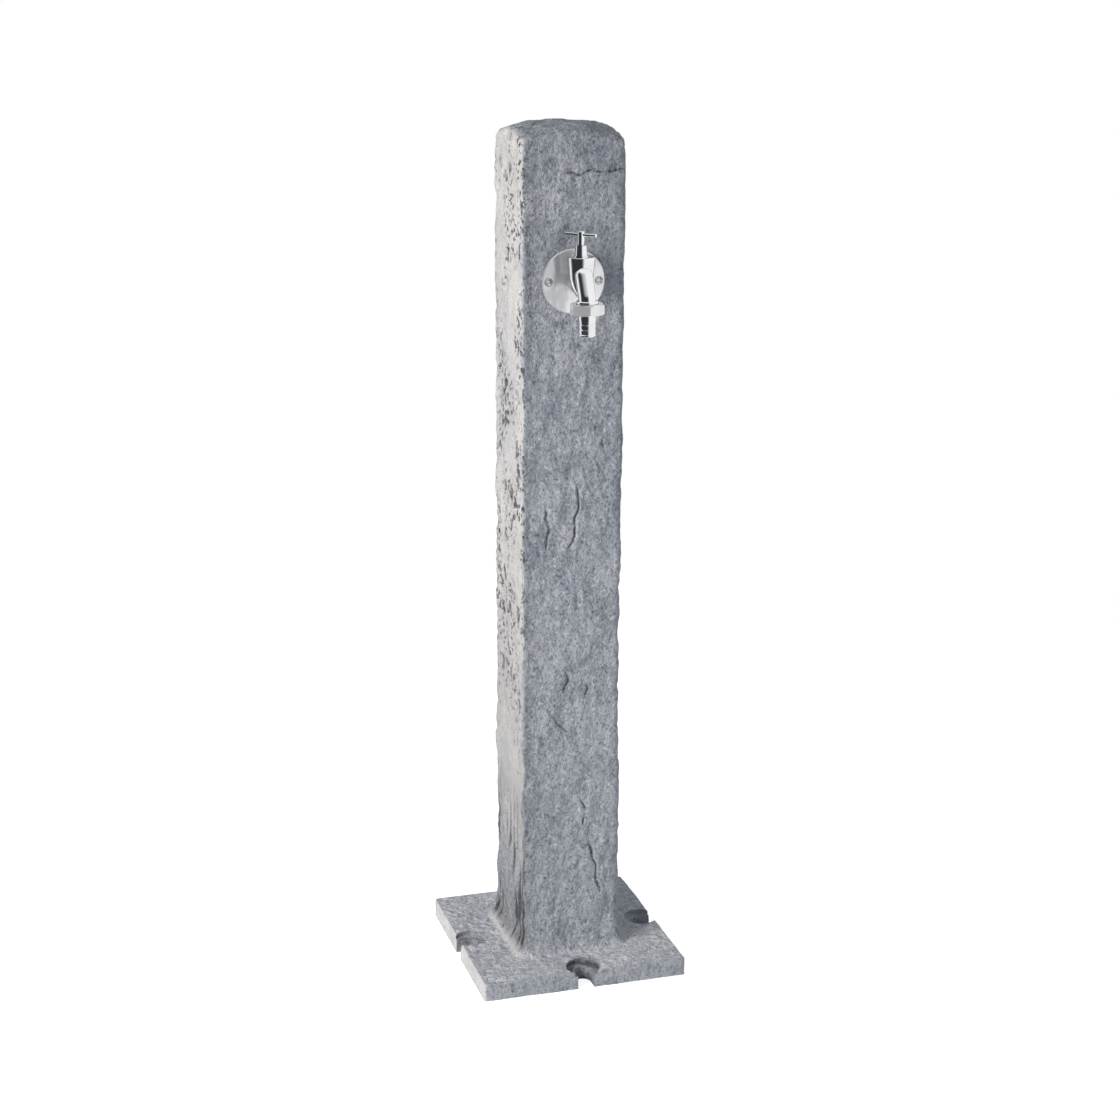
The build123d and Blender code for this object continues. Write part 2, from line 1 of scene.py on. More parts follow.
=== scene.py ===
import json
import math
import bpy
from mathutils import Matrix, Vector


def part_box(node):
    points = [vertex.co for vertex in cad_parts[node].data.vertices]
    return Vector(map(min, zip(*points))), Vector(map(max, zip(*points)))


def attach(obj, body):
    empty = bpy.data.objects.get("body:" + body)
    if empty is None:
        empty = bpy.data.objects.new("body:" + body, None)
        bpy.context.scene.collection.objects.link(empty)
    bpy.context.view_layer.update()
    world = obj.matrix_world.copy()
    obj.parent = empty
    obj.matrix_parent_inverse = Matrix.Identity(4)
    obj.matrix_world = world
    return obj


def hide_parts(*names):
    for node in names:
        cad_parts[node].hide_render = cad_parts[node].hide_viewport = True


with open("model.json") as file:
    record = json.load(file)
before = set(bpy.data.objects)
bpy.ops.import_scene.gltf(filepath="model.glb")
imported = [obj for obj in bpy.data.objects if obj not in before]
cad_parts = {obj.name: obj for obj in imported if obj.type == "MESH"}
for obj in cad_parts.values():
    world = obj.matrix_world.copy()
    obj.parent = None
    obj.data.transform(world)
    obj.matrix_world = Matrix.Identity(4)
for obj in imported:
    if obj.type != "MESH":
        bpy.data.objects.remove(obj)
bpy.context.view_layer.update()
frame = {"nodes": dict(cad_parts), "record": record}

from types import SimpleNamespace

import bmesh
import bpy
import numpy as np
from mathutils import Matrix, Vector

# The stone column and its foot are grids of rings wrapped round the moulding and pushed in and out
# by worked-out relief. The valve body and the plate's screws are smooth copies of the machined
# pieces. Every other piece keeps its solid. Everything is in metres, apart from the tap's own sizes.
MM = 0.001

# Column and foot
POST_X, POST_Y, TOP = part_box("column")[1]
FOOT_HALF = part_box("foot")[1][0]
WALL = 6.5 * MM
CROWN_RADIUS = 200 * MM
CROWN_EDGE = 5.5 * MM
CREST_ROOM = 1.2 * MM
CORNERS = (7.5 * MM, 7 * MM, 6 * MM, 3.2 * MM)
INNER_CORNERS = (8 * MM,) * 4
FLARE_OUT = 15 * MM
FLARE_UP = 32 * MM
FLARE_TUCK = 0.35 * MM
FOOT_TOP = 22 * MM
FOOT_EDGE = 2.2 * MM
FOOT_CORNERS = (4 * MM,) * 4

# Slots in the foot
SLOT_HALF = 10 * MM
SLOT_INSET = 15 * MM
RECESS_RADIUS = 20 * MM
RECESS_DEPTH = 5.5 * MM
RECESS_POINTS = 56

# Wall plate, the holes behind it, and how far round it the relief fades out
PLATE_LOW, PLATE_HIGH = (np.array(corner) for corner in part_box("rosette"))
PLATE_X = (PLATE_LOW[0] + PLATE_HIGH[0]) / 2
PLATE_Z = (PLATE_LOW[2] + PLATE_HIGH[2]) / 2
PLATE_RADIUS = (PLATE_HIGH[2] - PLATE_LOW[2]) / 2
SCREW_REACH = 29 * MM
INLET_HOLE = 12 * MM
SCREW_HOLE = 2.3 * MM
BORE_POINTS = 48
PLATE_EASE = 10 * MM

# Tap: the barrel's axis, and sizes of the valve body in its own frame, in millimetres. Ends are
# closed down to the pole's radius, and bores run past their ends.
SPINDLE_LOW, SPINDLE_HIGH = (np.array(corner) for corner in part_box("spindle"))
TAP = np.array([PLATE_X, (SPINDLE_LOW[1] + SPINDLE_HIGH[1]) / 2, PLATE_Z])
BODY_RADIUS, BODY_TOP, CHAMFER = 15.6, 31, 0.8
WAIST_RADIUS, WAIST, BELLY_BULGE = 13.8, 8, 1.7
BODY_FOOT_RADIUS, BODY_FOOT = 4, -13.5
NECK_RADIUS, NECK_REACH, NECK_BORE, NECK_BORE_END = 11.4, 25.5, 6.5, 6
INLET_RADIUS, INLET_REACH = 10.45, 47.5
CHAMBER_RADIUS, CHAMBER_FLOOR = 9, 9
MOUTH_RADIUS, MOUTH_FLOOR = 10.5, 22
SEAT_RADIUS, SEAT_BORE, SEAT_FOOT, SEAT_TOP = 7.2, 5.5, 6.8, 10.5
SPOUT_ROOT, SPOUT_BEND, SPOUT_END = (-10.9, 11.6), (-24, -14), (-24, -21.7)
SPOUT_TURN, SPOUT_RADII, SPOUT_BORE = 12, (9.9, 8.9), 6.2
COLLAR_RADIUS, COLLAR_HIGH, COLLAR_LOW = 12, -13.3, -17.3
OUTLET_RADIUS = 13.2
TURNED_COLUMNS = 96
POLE = 0.5
PAST = 5

# Plate screws: head, shank and the dished socket in the head, in millimetres
HEAD_RADIUS, HEAD_DEPTH, SHANK_RADIUS, SHANK_LENGTH = 4.2, 2.4, 2, 20
HEAD_EDGE = 0.05
DISH_RIM, DISH_RADIUS, DISH_DEPTH = 3.8, 2.1, 1.8
DISH_LIP, DISH_LIP_DEPTH = 0.3, 0.15
SCREW_COLUMNS, SCREW_POLE = 40, 0.2

# Edges that face each other at more than this angle stay sharp, in degrees
STONE_ANGLE = 62
METAL_ANGLE = 32

FLOOR_RADIUS = 1.6
FLOOR_POINTS = 96

# Studio flag: its side of the object, and how many degrees to each side it fades out and is full
FLAG_SIDE = -140
FLAG_REACH = (68, 40)

# Finish of the walls that a cut leaves in the stone, with painted shade: the low lightness and the hollow
# darken the walls as if in shade
CUT_SHADE_AND_FINISH = {"hollow": 0.12, "painted_light_and_tone": 0.66, "warm_light": 0.12, "pitted": 0.0}

# Any point of the stone is lighter than this, so one below it was made by a cut
LEAST_TONE = 0.2

SEED = 7


# Camera

# Place, angles to the right, down and about its own line in degrees, and focal length in pixels
CAMERA_PLACE = (-0.71765, -2.38493, 1.21603)
CAMERA_ANGLES = (16.812, 16.220, 0.217)
CAMERA_FOCUS = 2218.15
FRAME_PIXELS = 1120
SENSOR = 36.0


def make_camera():
    """Camera turned to the right, down and about its own line by its three angles."""
    yaw, pitch, roll = (math.radians(angle) for angle in CAMERA_ANGLES)
    ahead = Vector((math.sin(yaw) * math.cos(pitch), math.cos(yaw) * math.cos(pitch), -math.sin(pitch)))
    level = Vector((math.cos(yaw), -math.sin(yaw), 0))
    above = level.cross(ahead)
    right = level * math.cos(roll) + above * math.sin(roll)
    up = above * math.cos(roll) - level * math.sin(roll)
    data = bpy.data.cameras.new("camera")
    data.lens = CAMERA_FOCUS / FRAME_PIXELS * SENSOR
    data.sensor_width = SENSOR
    camera = bpy.data.objects.new("camera", data)
    turn = Matrix((right, up, -ahead)).transposed().to_4x4()
    camera.matrix_world = Matrix.Translation(CAMERA_PLACE) @ turn
    bpy.context.scene.collection.objects.link(camera)
    bpy.context.scene.camera = camera


# Nodes


def add(tree, kind, inputs=None, **settings):
    """New node with its settings, and its inputs either linked or set."""
    made = tree.nodes.new(kind)
    for name, value in settings.items():
        setattr(made, name, value)
    for name, value in (inputs or {}).items():
        socket = made.inputs[name]
        if isinstance(value, bpy.types.NodeSocket):
            tree.links.new(value, socket)
        else:
            socket.default_value = value
    return made


def maths(tree, operation, first, second=0.0):
    """Output of a Math node."""
    return add(tree, "ShaderNodeMath", {0: first, 1: second}, operation=operation).outputs[0]


def vectors(tree, operation, first, second=(0, 0, 0), output="Vector"):
    """Output of a Vector Math node."""
    return add(tree, "ShaderNodeVectorMath", {0: first, 1: second}, operation=operation).outputs[output]


def ramp(tree, value, low, high, out_low=0.0, out_high=1.0):
    """Smooth step of a value from low to high."""
    made = add(tree, "ShaderNodeMapRange", {
        "Value": value, "From Min": low, "From Max": high, "To Min": out_low, "To Max": out_high,
    }, interpolation_type="SMOOTHSTEP")
    return made.outputs["Result"]


def mix(tree, factor, first, second, blend="MIX"):
    """Colour output of a Mix node."""
    inputs = {0: factor, 6: first, 7: second}
    return add(tree, "ShaderNodeMix", inputs, data_type="RGBA", blend_type=blend).outputs[2]


def noise(tree, place, scale, detail=3.0, rough=0.55, stretch=None, distortion=0.0):
    """Factor of a noise texture on object coordinates, optionally stretched."""
    if stretch:
        place = add(tree, "ShaderNodeMapping", {"Vector": place, "Scale": stretch}).outputs[0]
    made = add(tree, "ShaderNodeTexNoise", {
        "Vector": place, "Scale": scale, "Detail": detail, "Roughness": rough, "Distortion": distortion,
    })
    return made.outputs["Fac"]


def attribute(tree, name):
    """Value stored at the mesh's points under a name."""
    return add(tree, "ShaderNodeAttribute", attribute_name=name).outputs["Fac"]


def new_material(name, color, roughness, metallic=0.0):
    """Material with its Principled shader, and its tree and object coordinates."""
    material = bpy.data.materials.new(name)
    material.use_nodes = True
    tree = material.node_tree
    shader = tree.nodes["Principled BSDF"]
    shader.inputs["Base Color"].default_value = (*color, 1)
    shader.inputs["Roughness"].default_value = roughness
    shader.inputs["Metallic"].default_value = metallic
    place = tree.nodes.new("ShaderNodeTexCoord").outputs["Object"]
    return material, tree, shader, place


def bump(tree, shader, height, distance, strength=1.0):
    """Bump from a height that varies over the surface."""
    made = add(tree, "ShaderNodeBump", {"Height": height, "Distance": distance, "Strength": strength})
    tree.links.new(made.outputs["Normal"], shader.inputs["Normal"])


def clouding_group():
    """Effect that all the metals, rubbers and plastics share: a soft cloud over the surface moves
    its colour and its roughness between two values each, and a finer grain gives a height."""
    group = bpy.data.node_groups.new("clouding", "ShaderNodeTree")
    for name, kind in (("Place", "Vector"), ("Scale", "Float"), ("Grain Scale", "Float"), ("Light", "Color"),
                       ("Dark", "Color"), ("Smooth", "Float"), ("Rough", "Float")):
        group.interface.new_socket(name, in_out="INPUT", socket_type="NodeSocket" + kind)
    for name, kind in (("Color", "Color"), ("Roughness", "Float"), ("Grain", "Float")):
        group.interface.new_socket(name, in_out="OUTPUT", socket_type="NodeSocket" + kind)
    given = group.nodes.new("NodeGroupInput").outputs
    result = group.nodes.new("NodeGroupOutput").inputs
    cloud = noise(group, given["Place"], given["Scale"], 3, 0.6)
    tint = mix(group, ramp(group, cloud, 0.32, 0.70), given["Light"], given["Dark"])
    group.links.new(tint, result["Color"])
    group.links.new(ramp(group, cloud, 0.3, 0.7, given["Smooth"], given["Rough"]), result["Roughness"])
    group.links.new(noise(group, given["Place"], given["Grain Scale"], 3, 0.6), result["Grain"])
    return group


# Materials


# Metals, rubbers, fibre and plastic: light and dark colour, least and most roughness, metallic, scale
# of the cloud and of the grain, the grain's height in millimetres, and any stretch
FINISHES = {
    "chrome": ((0.86, 0.87, 0.88), (0.80, 0.81, 0.82), (0.03, 0.09), 1, 30, 700, 0),
    "satin_chrome": ((0.90, 0.90, 0.90), (0.82, 0.82, 0.83), (0.16, 0.24), 0.72, 60, 700, 0),
    "fastener_steel": ((0.66, 0.66, 0.66), (0.56, 0.56, 0.57), (0.20, 0.30), 0.8, 120, 1500, 0.01),
    "zinc_plate": ((0.55, 0.57, 0.59), (0.44, 0.46, 0.48), (0.35, 0.55), 1, 160, 900, 0.05),
    "brass": ((0.72, 0.55, 0.28), (0.60, 0.45, 0.22), (0.22, 0.38), 1, 90, 800, 0.03),
    "copper_pipe": ((0.74, 0.42, 0.28), (0.60, 0.32, 0.20), (0.2, 0.4), 1, 70, 420, 0.02, (1, 1, 0.1)),
    "black_rubber": ((0.03, 0.03, 0.032), (0.045, 0.045, 0.046), (0.6, 0.78), 0, 60, 900, 0.1),
    "fibre_ring": ((0.36, 0.09, 0.05), (0.46, 0.13, 0.07), (0.65, 0.82), 0, 60, 1200, 0.05),
    "grey_plastic": ((0.16, 0.165, 0.17), (0.20, 0.205, 0.21), (0.42, 0.58), 0, 60, 700, 0.05),
}


def clouded(group, name, light, dark, rough, metallic, scale, grain_scale, grain_height, stretch=(1, 1, 1)):
    """Material of one row of the table: the shared clouding with this finish's own values."""
    material, tree, shader, place = new_material(name, light, sum(rough) / 2, metallic)
    place = add(tree, "ShaderNodeMapping", {"Vector": place, "Scale": stretch}).outputs[0]
    made = add(tree, "ShaderNodeGroup", {
        "Place": place, "Scale": scale, "Grain Scale": grain_scale, "Light": (*light, 1), "Dark": (*dark, 1),
        "Smooth": rough[0], "Rough": rough[1],
    }, node_tree=group).outputs
    tree.links.new(made["Color"], shader.inputs["Base Color"])
    tree.links.new(made["Roughness"], shader.inputs["Roughness"])
    if grain_height:
        bump(tree, shader, made["Grain"], grain_height * MM)
    return material


def granite():
    """Cast granite look. The ground runs from blue-grey to the lighter, warmer grey painted on the left
    side for the key lamp's light, darkened or lightened by the stored painted light and shade. Mottling,
    pale flecks, dark grains and small upright pits, painted near black as shade, lie over it, and the
    hollows of the relief are darkest, as painted shade."""
    material, tree, shader, place = new_material("granite", (0.36, 0.375, 0.41), 0.9)
    warm_light, painted_light_and_tone, hollow, pitted = (attribute(tree, name) for name in ("warm_light", "painted_light_and_tone", "hollow", "pitted"))
    cloud = ramp(tree, noise(tree, place, 24, 5, 0.68), 0.35, 0.65)
    mottle = noise(tree, place, 125, 4, 0.62, stretch=(1, 1, 0.8))
    fleck = noise(tree, place, 300, 3, 0.62, distortion=0.3)
    grain = noise(tree, place, 560, 2, 0.6)
    # Painted light: the cooler ground of the front, and the lighter, warmer ground that stands in for the key
    # lamp's light on the left side
    cool_ground = mix(tree, cloud, (0.350, 0.374, 0.425, 1), (0.470, 0.490, 0.530, 1))
    left_lit_ground = mix(tree, cloud, (0.530, 0.515, 0.508, 1), (0.620, 0.606, 0.598, 1))
    ground = mix(tree, warm_light, cool_ground, left_lit_ground)
    # Speckle: its share, what part of that is left on the lighter, warmer ground painted for the lamp's
    # light, and its colour
    for share, kept, color in (
        (ramp(tree, mottle, 0.50, 0.36, 0, 0.40), 0.22, (0.17, 0.185, 0.225, 1)),
        (ramp(tree, fleck, 0.54, 0.70, 0, 0.62), 0.6, (0.76, 0.77, 0.79, 1)),
        (ramp(tree, fleck, 0.45, 0.32, 0, 0.70), 0.35, (0.13, 0.14, 0.17, 1)),
        (ramp(tree, grain, 0.60, 0.72, 0, 0.35), 1, (0.80, 0.80, 0.80, 1)),
    ):
        share = maths(tree, "MULTIPLY", share, ramp(tree, warm_light, 0, 1, 1, kept))
        ground = mix(tree, share, ground, color)

    upright = add(tree, "ShaderNodeMapping", {"Vector": place, "Scale": (1, 1, 1.15)}).outputs[0]
    wobble = add(tree, "ShaderNodeTexNoise", {"Vector": place, "Scale": 150, "Detail": 2}).outputs["Color"]
    upright = mix(tree, 0.012, upright, wobble, "ADD")
    cells = add(tree, "ShaderNodeTexVoronoi", {"Vector": upright, "Scale": 165, "Randomness": 1.0}).outputs
    drawn = add(tree, "ShaderNodeSeparateColor", {"Color": cells["Color"]}).outputs[0]
    # Small upright pits, painted near black as the shade inside them
    pit = maths(tree, "MULTIPLY", ramp(tree, cells["Distance"], 0.40, 0.22), ramp(tree, drawn, 0.36, 0.42))
    pit = maths(tree, "MULTIPLY", pit, pitted)
    ground = mix(tree, maths(tree, "MULTIPLY", pit, 0.92), ground, (0.07, 0.066, 0.07, 1))
    # Painted shade: the relief's hollows, cracks, pits, slit and cut walls grow dark, as if in shade
    uneven = maths(tree, "MULTIPLY", hollow, 3.2)
    ragged = maths(tree, "MULTIPLY", maths(tree, "SUBTRACT", fleck, 0.5), uneven)
    deep = maths(tree, "ADD", hollow, ragged)
    ground = mix(tree, ramp(tree, deep, 0.12, 0.80, 0, 0.90), ground, (0.085, 0.085, 0.10, 1))
    # The painted light and shade stored at the points multiplies the colour
    bright = add(tree, "ShaderNodeCombineColor", {0: painted_light_and_tone, 1: painted_light_and_tone, 2: painted_light_and_tone}).outputs[0]
    tree.links.new(mix(tree, 1.0, ground, bright, "MULTIPLY"), shader.inputs["Base Color"])
    tree.links.new(ramp(tree, fleck, 0.3, 0.75, 0.95, 0.70), shader.inputs["Roughness"])
    height = 0.0
    for value, weight in ((mottle, 0.62), (fleck, 0.62), (grain, 0.16), (pit, -0.45)):
        height = maths(tree, "ADD", height, maths(tree, "MULTIPLY", value, weight))
    bump(tree, shader, height, 4.2 * MM)
    shader.inputs["Specular IOR Level"].default_value = 0.3
    return material


def brushed_steel():
    """Satin steel with fine vertical brush lines, darker towards its upper left edge as a painted
    reflection of the dark studio flag, and with painted shade in the gap round each screw."""
    material, tree, shader, place = new_material("brushed_plate", (0.62, 0.62, 0.63), 0.3, 0.55)
    lines = noise(tree, place, 900, 2, 0.7, stretch=(1, 1, 0.03))
    broad = noise(tree, place, 60, 2, 0.5, stretch=(1, 1, 0.06))
    tree.links.new(ramp(tree, lines, 0.3, 0.7, 0.11, 0.19), shader.inputs["Roughness"])
    tint = mix(tree, ramp(tree, broad, 0.35, 0.68), (0.93, 0.93, 0.93, 1), (0.86, 0.86, 0.87, 1))
    # Painted reflection of the dark studio flag: darker towards the upper left edge
    from_middle = vectors(tree, "SUBTRACT", place, (PLATE_X, 0, PLATE_Z))
    lean = vectors(tree, "DOT_PRODUCT", from_middle, (-0.45, 0, 1), "Value")
    tint = mix(tree, ramp(tree, lean, -4 * MM, 22 * MM, 0, 0.85), tint, (0.50, 0.51, 0.53, 1))
    # Painted shade: a dark ring in the gap round each screw
    for side in (-1, 1):
        from_screw = vectors(tree, "SUBTRACT", from_middle, (side * SCREW_REACH, 0, 0))
        reach = vectors(tree, "LENGTH", vectors(tree, "MULTIPLY", from_screw, (1, 0, 1)), output="Value")
        tint = mix(tree, ramp(tree, reach, 5.4 * MM, 4.3 * MM, 0, 0.85), tint, (0.10, 0.10, 0.11, 1))
    tree.links.new(tint, shader.inputs["Base Color"])
    bump(tree, shader, lines, 0.04 * MM, 0.3)
    return material


def flagged(tree, way):
    """How far a direction or a place lies on the side of the dark studio flag."""
    level = vectors(tree, "NORMALIZE", vectors(tree, "MULTIPLY", way, (1, 1, 0)))
    side = math.radians(FLAG_SIDE)
    toward = vectors(tree, "DOT_PRODUCT", level, (math.cos(side), math.sin(side), 0), "Value")
    return ramp(tree, toward, *(math.cos(math.radians(reach)) for reach in FLAG_REACH))


def floor_finish():
    """White floor that the camera sees as white and that keeps the object's shadow. Polished metal
    sees the foot of the dark studio flag on it."""
    material, tree, shader, place = new_material("floor", (0.86, 0.86, 0.86), 0.9)
    path = tree.nodes.new("ShaderNodeLightPath").outputs
    dark = maths(tree, "MULTIPLY", flagged(tree, place), path["Is Glossy Ray"])
    color = mix(tree, dark, (0.86, 0.86, 0.86, 1), (0.05, 0.05, 0.055, 1))
    tree.links.new(color, shader.inputs["Base Color"])
    seen = maths(tree, "MAXIMUM", path["Is Camera Ray"], path["Is Glossy Ray"])
    seen = maths(tree, "MAXIMUM", seen, path["Is Transmission Ray"])
    seen = maths(tree, "MULTIPLY", seen, maths(tree, "SUBTRACT", 1.0, dark))
    shader.inputs["Emission Color"].default_value = (1, 1, 1, 1)
    tree.links.new(maths(tree, "MULTIPLY", seen, 0.74), shader.inputs["Emission Strength"])
    return material


# Mesh building


def put_mesh(name, points, faces):
    """Object at the origin from an array of points and a list of face index arrays."""
    data = bpy.data.meshes.new(name)
    data.from_pydata(points.tolist(), [], faces)
    data.update()
    made = bpy.data.objects.new(name, data)
    bpy.context.scene.collection.objects.link(made)
    return made


def ring_faces(rows, columns, closed_rows=False):
    """Quads between neighbouring rings of a grid whose rings close on themselves."""
    row = np.arange(rows if closed_rows else rows - 1)[:, None]
    column = np.arange(columns)[None, :]
    after = (column + 1) % columns
    below = (row + 1) % rows
    corners = [row * columns + after, row * columns + column, below * columns + column,
               below * columns + after]
    return np.stack([np.broadcast_to(corner, (len(row), columns)) for corner in corners], -1).reshape(-1, 4)


def capped_faces(rows, columns):
    """Ring faces closed at each end by a fan round a pole, whose point follows those of the rings."""
    step = np.arange(columns)
    after = (step + 1) % columns
    last = (rows - 1) * columns
    pole = np.full(columns, rows * columns)
    first_fan = np.stack([step, after, pole], -1).tolist()
    last_fan = np.stack([last + after, last + step, pole + 1], -1).tolist()
    return ring_faces(rows, columns).tolist() + first_fan + last_fan


def circle(radius, count):
    """Points of a circle round the origin: the radius times the cosine and sine of equal turns."""
    turn = np.linspace(0, 2 * np.pi, count, endpoint=False)
    return radius * np.stack([np.cos(turn), np.sin(turn)], -1)


def store(piece, values):
    """Named values at the mesh's points."""
    for name, numbers in values.items():
        layer = piece.data.attributes.new(name, "FLOAT", "POINT")
        layer.data.foreach_set("value", np.asarray(numbers, np.float32))


def prism(outline, low, high):
    """Points and faces of an upright prism over an outline that runs anticlockwise."""
    outline = np.asarray(outline, float)
    count = len(outline)
    points = np.concatenate([np.c_[outline, np.full(count, low)], np.c_[outline, np.full(count, high)]])
    step = np.arange(count)
    after = (step + 1) % count
    faces = np.stack([step, after, after + count, step + count], -1).tolist()
    return points, faces + [step[::-1].tolist(), (step + count).tolist()]


def joined(name, parts):
    """One mesh object from several lists of points and faces."""
    points, faces, start = [], [], 0
    for part_points, part_faces in parts:
        points.append(part_points)
        faces += [[index + start for index in face] for face in part_faces]
        start += len(part_points)
    return put_mesh(name, np.concatenate(points), faces)


def carve(piece, cutter, operation="DIFFERENCE"):
    """Takes the cutter's shape out of the piece, or adds it, and deletes the cutter."""
    modifier = piece.modifiers.new("carve", "BOOLEAN")
    modifier.operation = operation
    modifier.object = cutter
    modifier.solver = "EXACT"
    bpy.context.view_layer.update()
    evaluated = piece.evaluated_get(bpy.context.evaluated_depsgraph_get())
    result = bpy.data.meshes.new_from_object(evaluated)
    piece.modifiers.clear()
    old = piece.data
    piece.data = result
    bpy.data.meshes.remove(old)
    bpy.data.objects.remove(cutter)


def cut(piece, cutter):
    """Cut in stone: the points that it makes come out with no stored values and get their own, the cut walls'
    finish with its painted shade.
    """
    carve(piece, cutter)
    values = {}
    for name in CUT_SHADE_AND_FINISH:
        values[name] = np.zeros(len(piece.data.vertices), np.float32)
        piece.data.attributes[name].data.foreach_get("value", values[name])
    made = values["painted_light_and_tone"] < LEAST_TONE
    for name, numbers in values.items():
        numbers[made] = CUT_SHADE_AND_FINISH[name]
        piece.data.attributes[name].data.foreach_set("value", numbers)


# Noise

# Noise fields of the stone: size of a cell in metres, what is added to the seed, and octaves
FIELDS = {
    "wave": ((0.12, 0.12, 0.17), 0, 2),
    "lump": ((0.026, 0.026, 0.040), 10, 3),
    "grain": ((0.0085, 0.0085, 0.0105), 20, 2),
    "fibre": ((0.011, 0.008, 0.085), 30, 3),
    "front_fibre": ((0.016, 0.010, 0.060), 37, 3),
    "wander": ((0.02, 0.02, 0.02), 44, 1),
    "ragged": ((0.006, 0.006, 0.006), 46, 1),
    "crowding": ((0.035, 0.035, 0.075), 48, 1),
    "ridge": ((0.017, 0.012, 0.02), 80, 3),
    "chip": ((0.014, 0.014, 0.020), 90, 2),
    "warp_x": ((0.013, 0.013, 0.013), 97, 1),
    "warp_z": ((0.013, 0.013, 0.013), 98, 1),
    "crack_width": ((0.012, 0.012, 0.014), 99, 1),
    "edge": ((0.012, 0.012, 0.016), 110, 2),
}

# Fissures: size, added seed, and width of the line in the noise's own height
FISSURES = {"wall": ((0.034, 0.034, 0.058), 25, 0.07), "rim": ((0.020, 0.020, 0.026), 35, 0.09)}

# Pits: size of a cell across and up, added seed, and share of the cells that have one
PITS = {
    "big": ((0.0165, 0.0135), 40, 0.36),
    "small": ((0.0095, 0.0070), 50, 0.62),
    "front": ((0.015, 0.020), 60, 0.32),
    "other": ((0.012, 0.022), 70, 0.5),
}


def shuffled(cells, seed):
    """Repeatable random number from 0 to 1 for each whole-number cell."""
    primes = np.array([73856093, 19349663, 83492791], np.int64)[:cells.shape[-1]]
    mixed = (cells * primes).sum(-1) + np.int64(seed) * 668265263
    mixed = mixed & 0x7FFFFFFF
    mixed = ((mixed ^ (mixed >> 15)) * 739982445) & 0x7FFFFFFF
    mixed = ((mixed ^ (mixed >> 12)) * 695872825) & 0x7FFFFFFF
    return ((mixed ^ (mixed >> 15)) & 0xFFFFFF) / float(0xFFFFFF)


def gradient_noise(points, size, seed):
    """Noise from about -1 to 1: each lattice point has a random slope, and the eight slopes round a
    point are blended by quintic steps."""
    scaled = points / np.asarray(size, float)
    base = np.floor(scaled).astype(np.int64)
    part = scaled - base
    fade = part ** 3 * (part * (part * 6 - 15) + 10)
    blended = np.zeros(len(points))
    for corner in np.ndindex(2, 2, 2):
        cell = base + np.array(corner)
        turn = shuffled(cell, seed) * 2 * np.pi
        rise = shuffled(cell, seed + 101) * 2 - 1
        flat = np.sqrt(1 - rise ** 2)
        offset = part - np.array(corner)
        slope = (np.cos(turn) * offset[:, 0] + np.sin(turn) * offset[:, 1]) * flat + rise * offset[:, 2]
        blended += slope * np.prod(np.where(corner, fade, 1 - fade), axis=-1)
    return blended * 1.7


def layered(points, size, seed, octaves=3):
    """Gradient noise added up over octaves of halving size and strength."""
    size = np.array(size, float)
    added = np.zeros(len(points))
    for octave in range(octaves):
        added += gradient_noise(points, size / 2 ** octave, seed + octave) / 2 ** octave
    return added


def field(points, name):
    """Layered noise of that name in the table."""
    size, seed, octaves = FIELDS[name]
    return layered(points, size, SEED + seed, octaves)


def pits(across, up, kind):
    """Pits of a kind, scattered one to a cell: 1 less the square of the distance from the pit's
    middle over its reach, and 0 outside it. Only a share of cells has one."""
    size, seed, share = PITS[kind]
    seed += SEED
    scaled = np.stack([across / size[0], up / size[1]], -1)
    base = np.floor(scaled).astype(np.int64)
    depth = np.zeros(len(scaled))
    for side in np.ndindex(3, 3):
        cell = base + np.array(side) - 1
        centre = cell + np.stack([shuffled(cell, seed), shuffled(cell, seed + 1)], -1) * 0.8 + 0.1
        reach = 0.20 + 0.28 * shuffled(cell, seed + 2)
        there = shuffled(cell, seed + 3) < share
        distance = np.linalg.norm(scaled - centre, axis=-1) / reach
        depth = np.maximum(depth, there * np.clip(1 - distance ** 2, 0, 1))
    return depth


def fissures(points, kind):
    """1 along the lines where a layered noise crosses zero, in the places that a second, broader
    noise leaves open: broken, wandering hairlines."""
    size, seed, width = FISSURES[kind]
    line = np.clip(1 - np.abs(layered(points, size, SEED + seed, 2)) / width, 0, 1)
    broad = gradient_noise(points, np.array(size) * 1.7, SEED + seed + 5)
    return line * np.clip(broad * 4 - 0.5, 0, 1)


def along_route(across, up, route):
    """Signed distance from a broken line through the route's points."""
    nearest = np.full(len(across), 1e9)
    signed = np.zeros(len(across))
    here = np.stack([across, up], -1)
    for first, second in zip(route[:-1], route[1:]):
        first, second = np.array(first) * MM, np.array(second) * MM
        run = second - first
        offset = here - first
        along = np.clip((offset @ run) / (run @ run), 0, 1)
        distance = np.linalg.norm(offset - along[:, None] * run, axis=-1)
        side = np.sign(run[0] * offset[:, 1] - run[1] * offset[:, 0])
        closer = distance < nearest
        nearest = np.where(closer, distance, nearest)
        signed = np.where(closer, side * distance, signed)
    return signed


# Stone


# Cracks on the front as (x, z) points, with groove depth and the height of the ledge on one side of
# it, in millimetres
FRONT_CRACKS = [
    ([(-12, 947), (4, 945), (20, 950), (38, 947), (60, 951)], 1.4, 1.3),
    ([(-30, 577), (-33, 560), (-29, 545), (-32, 528), (-28, 512)], 1.5, 0.9),
    ([(3, 590), (7, 572), (3, 556), (2, 540), (-6, 524)], 1.5, -0.9),
    ([(27, 664), (31, 652), (36, 640)], 1.5, 0.7),
    ([(-8, 374), (-4, 362), (-11, 350)], 1.2, 0.6),
    ([(14, 362), (20, 352), (16, 340)], 1.2, 0.6),
    ([(-32, 330), (-20, 316), (-8, 300)], 1.0, 0.5),
    ([(12, 214), (17, 196), (14, 178), (21, 160), (25, 142), (31, 128), (32, 108), (37, 92)], 1.9, 1.1),
]

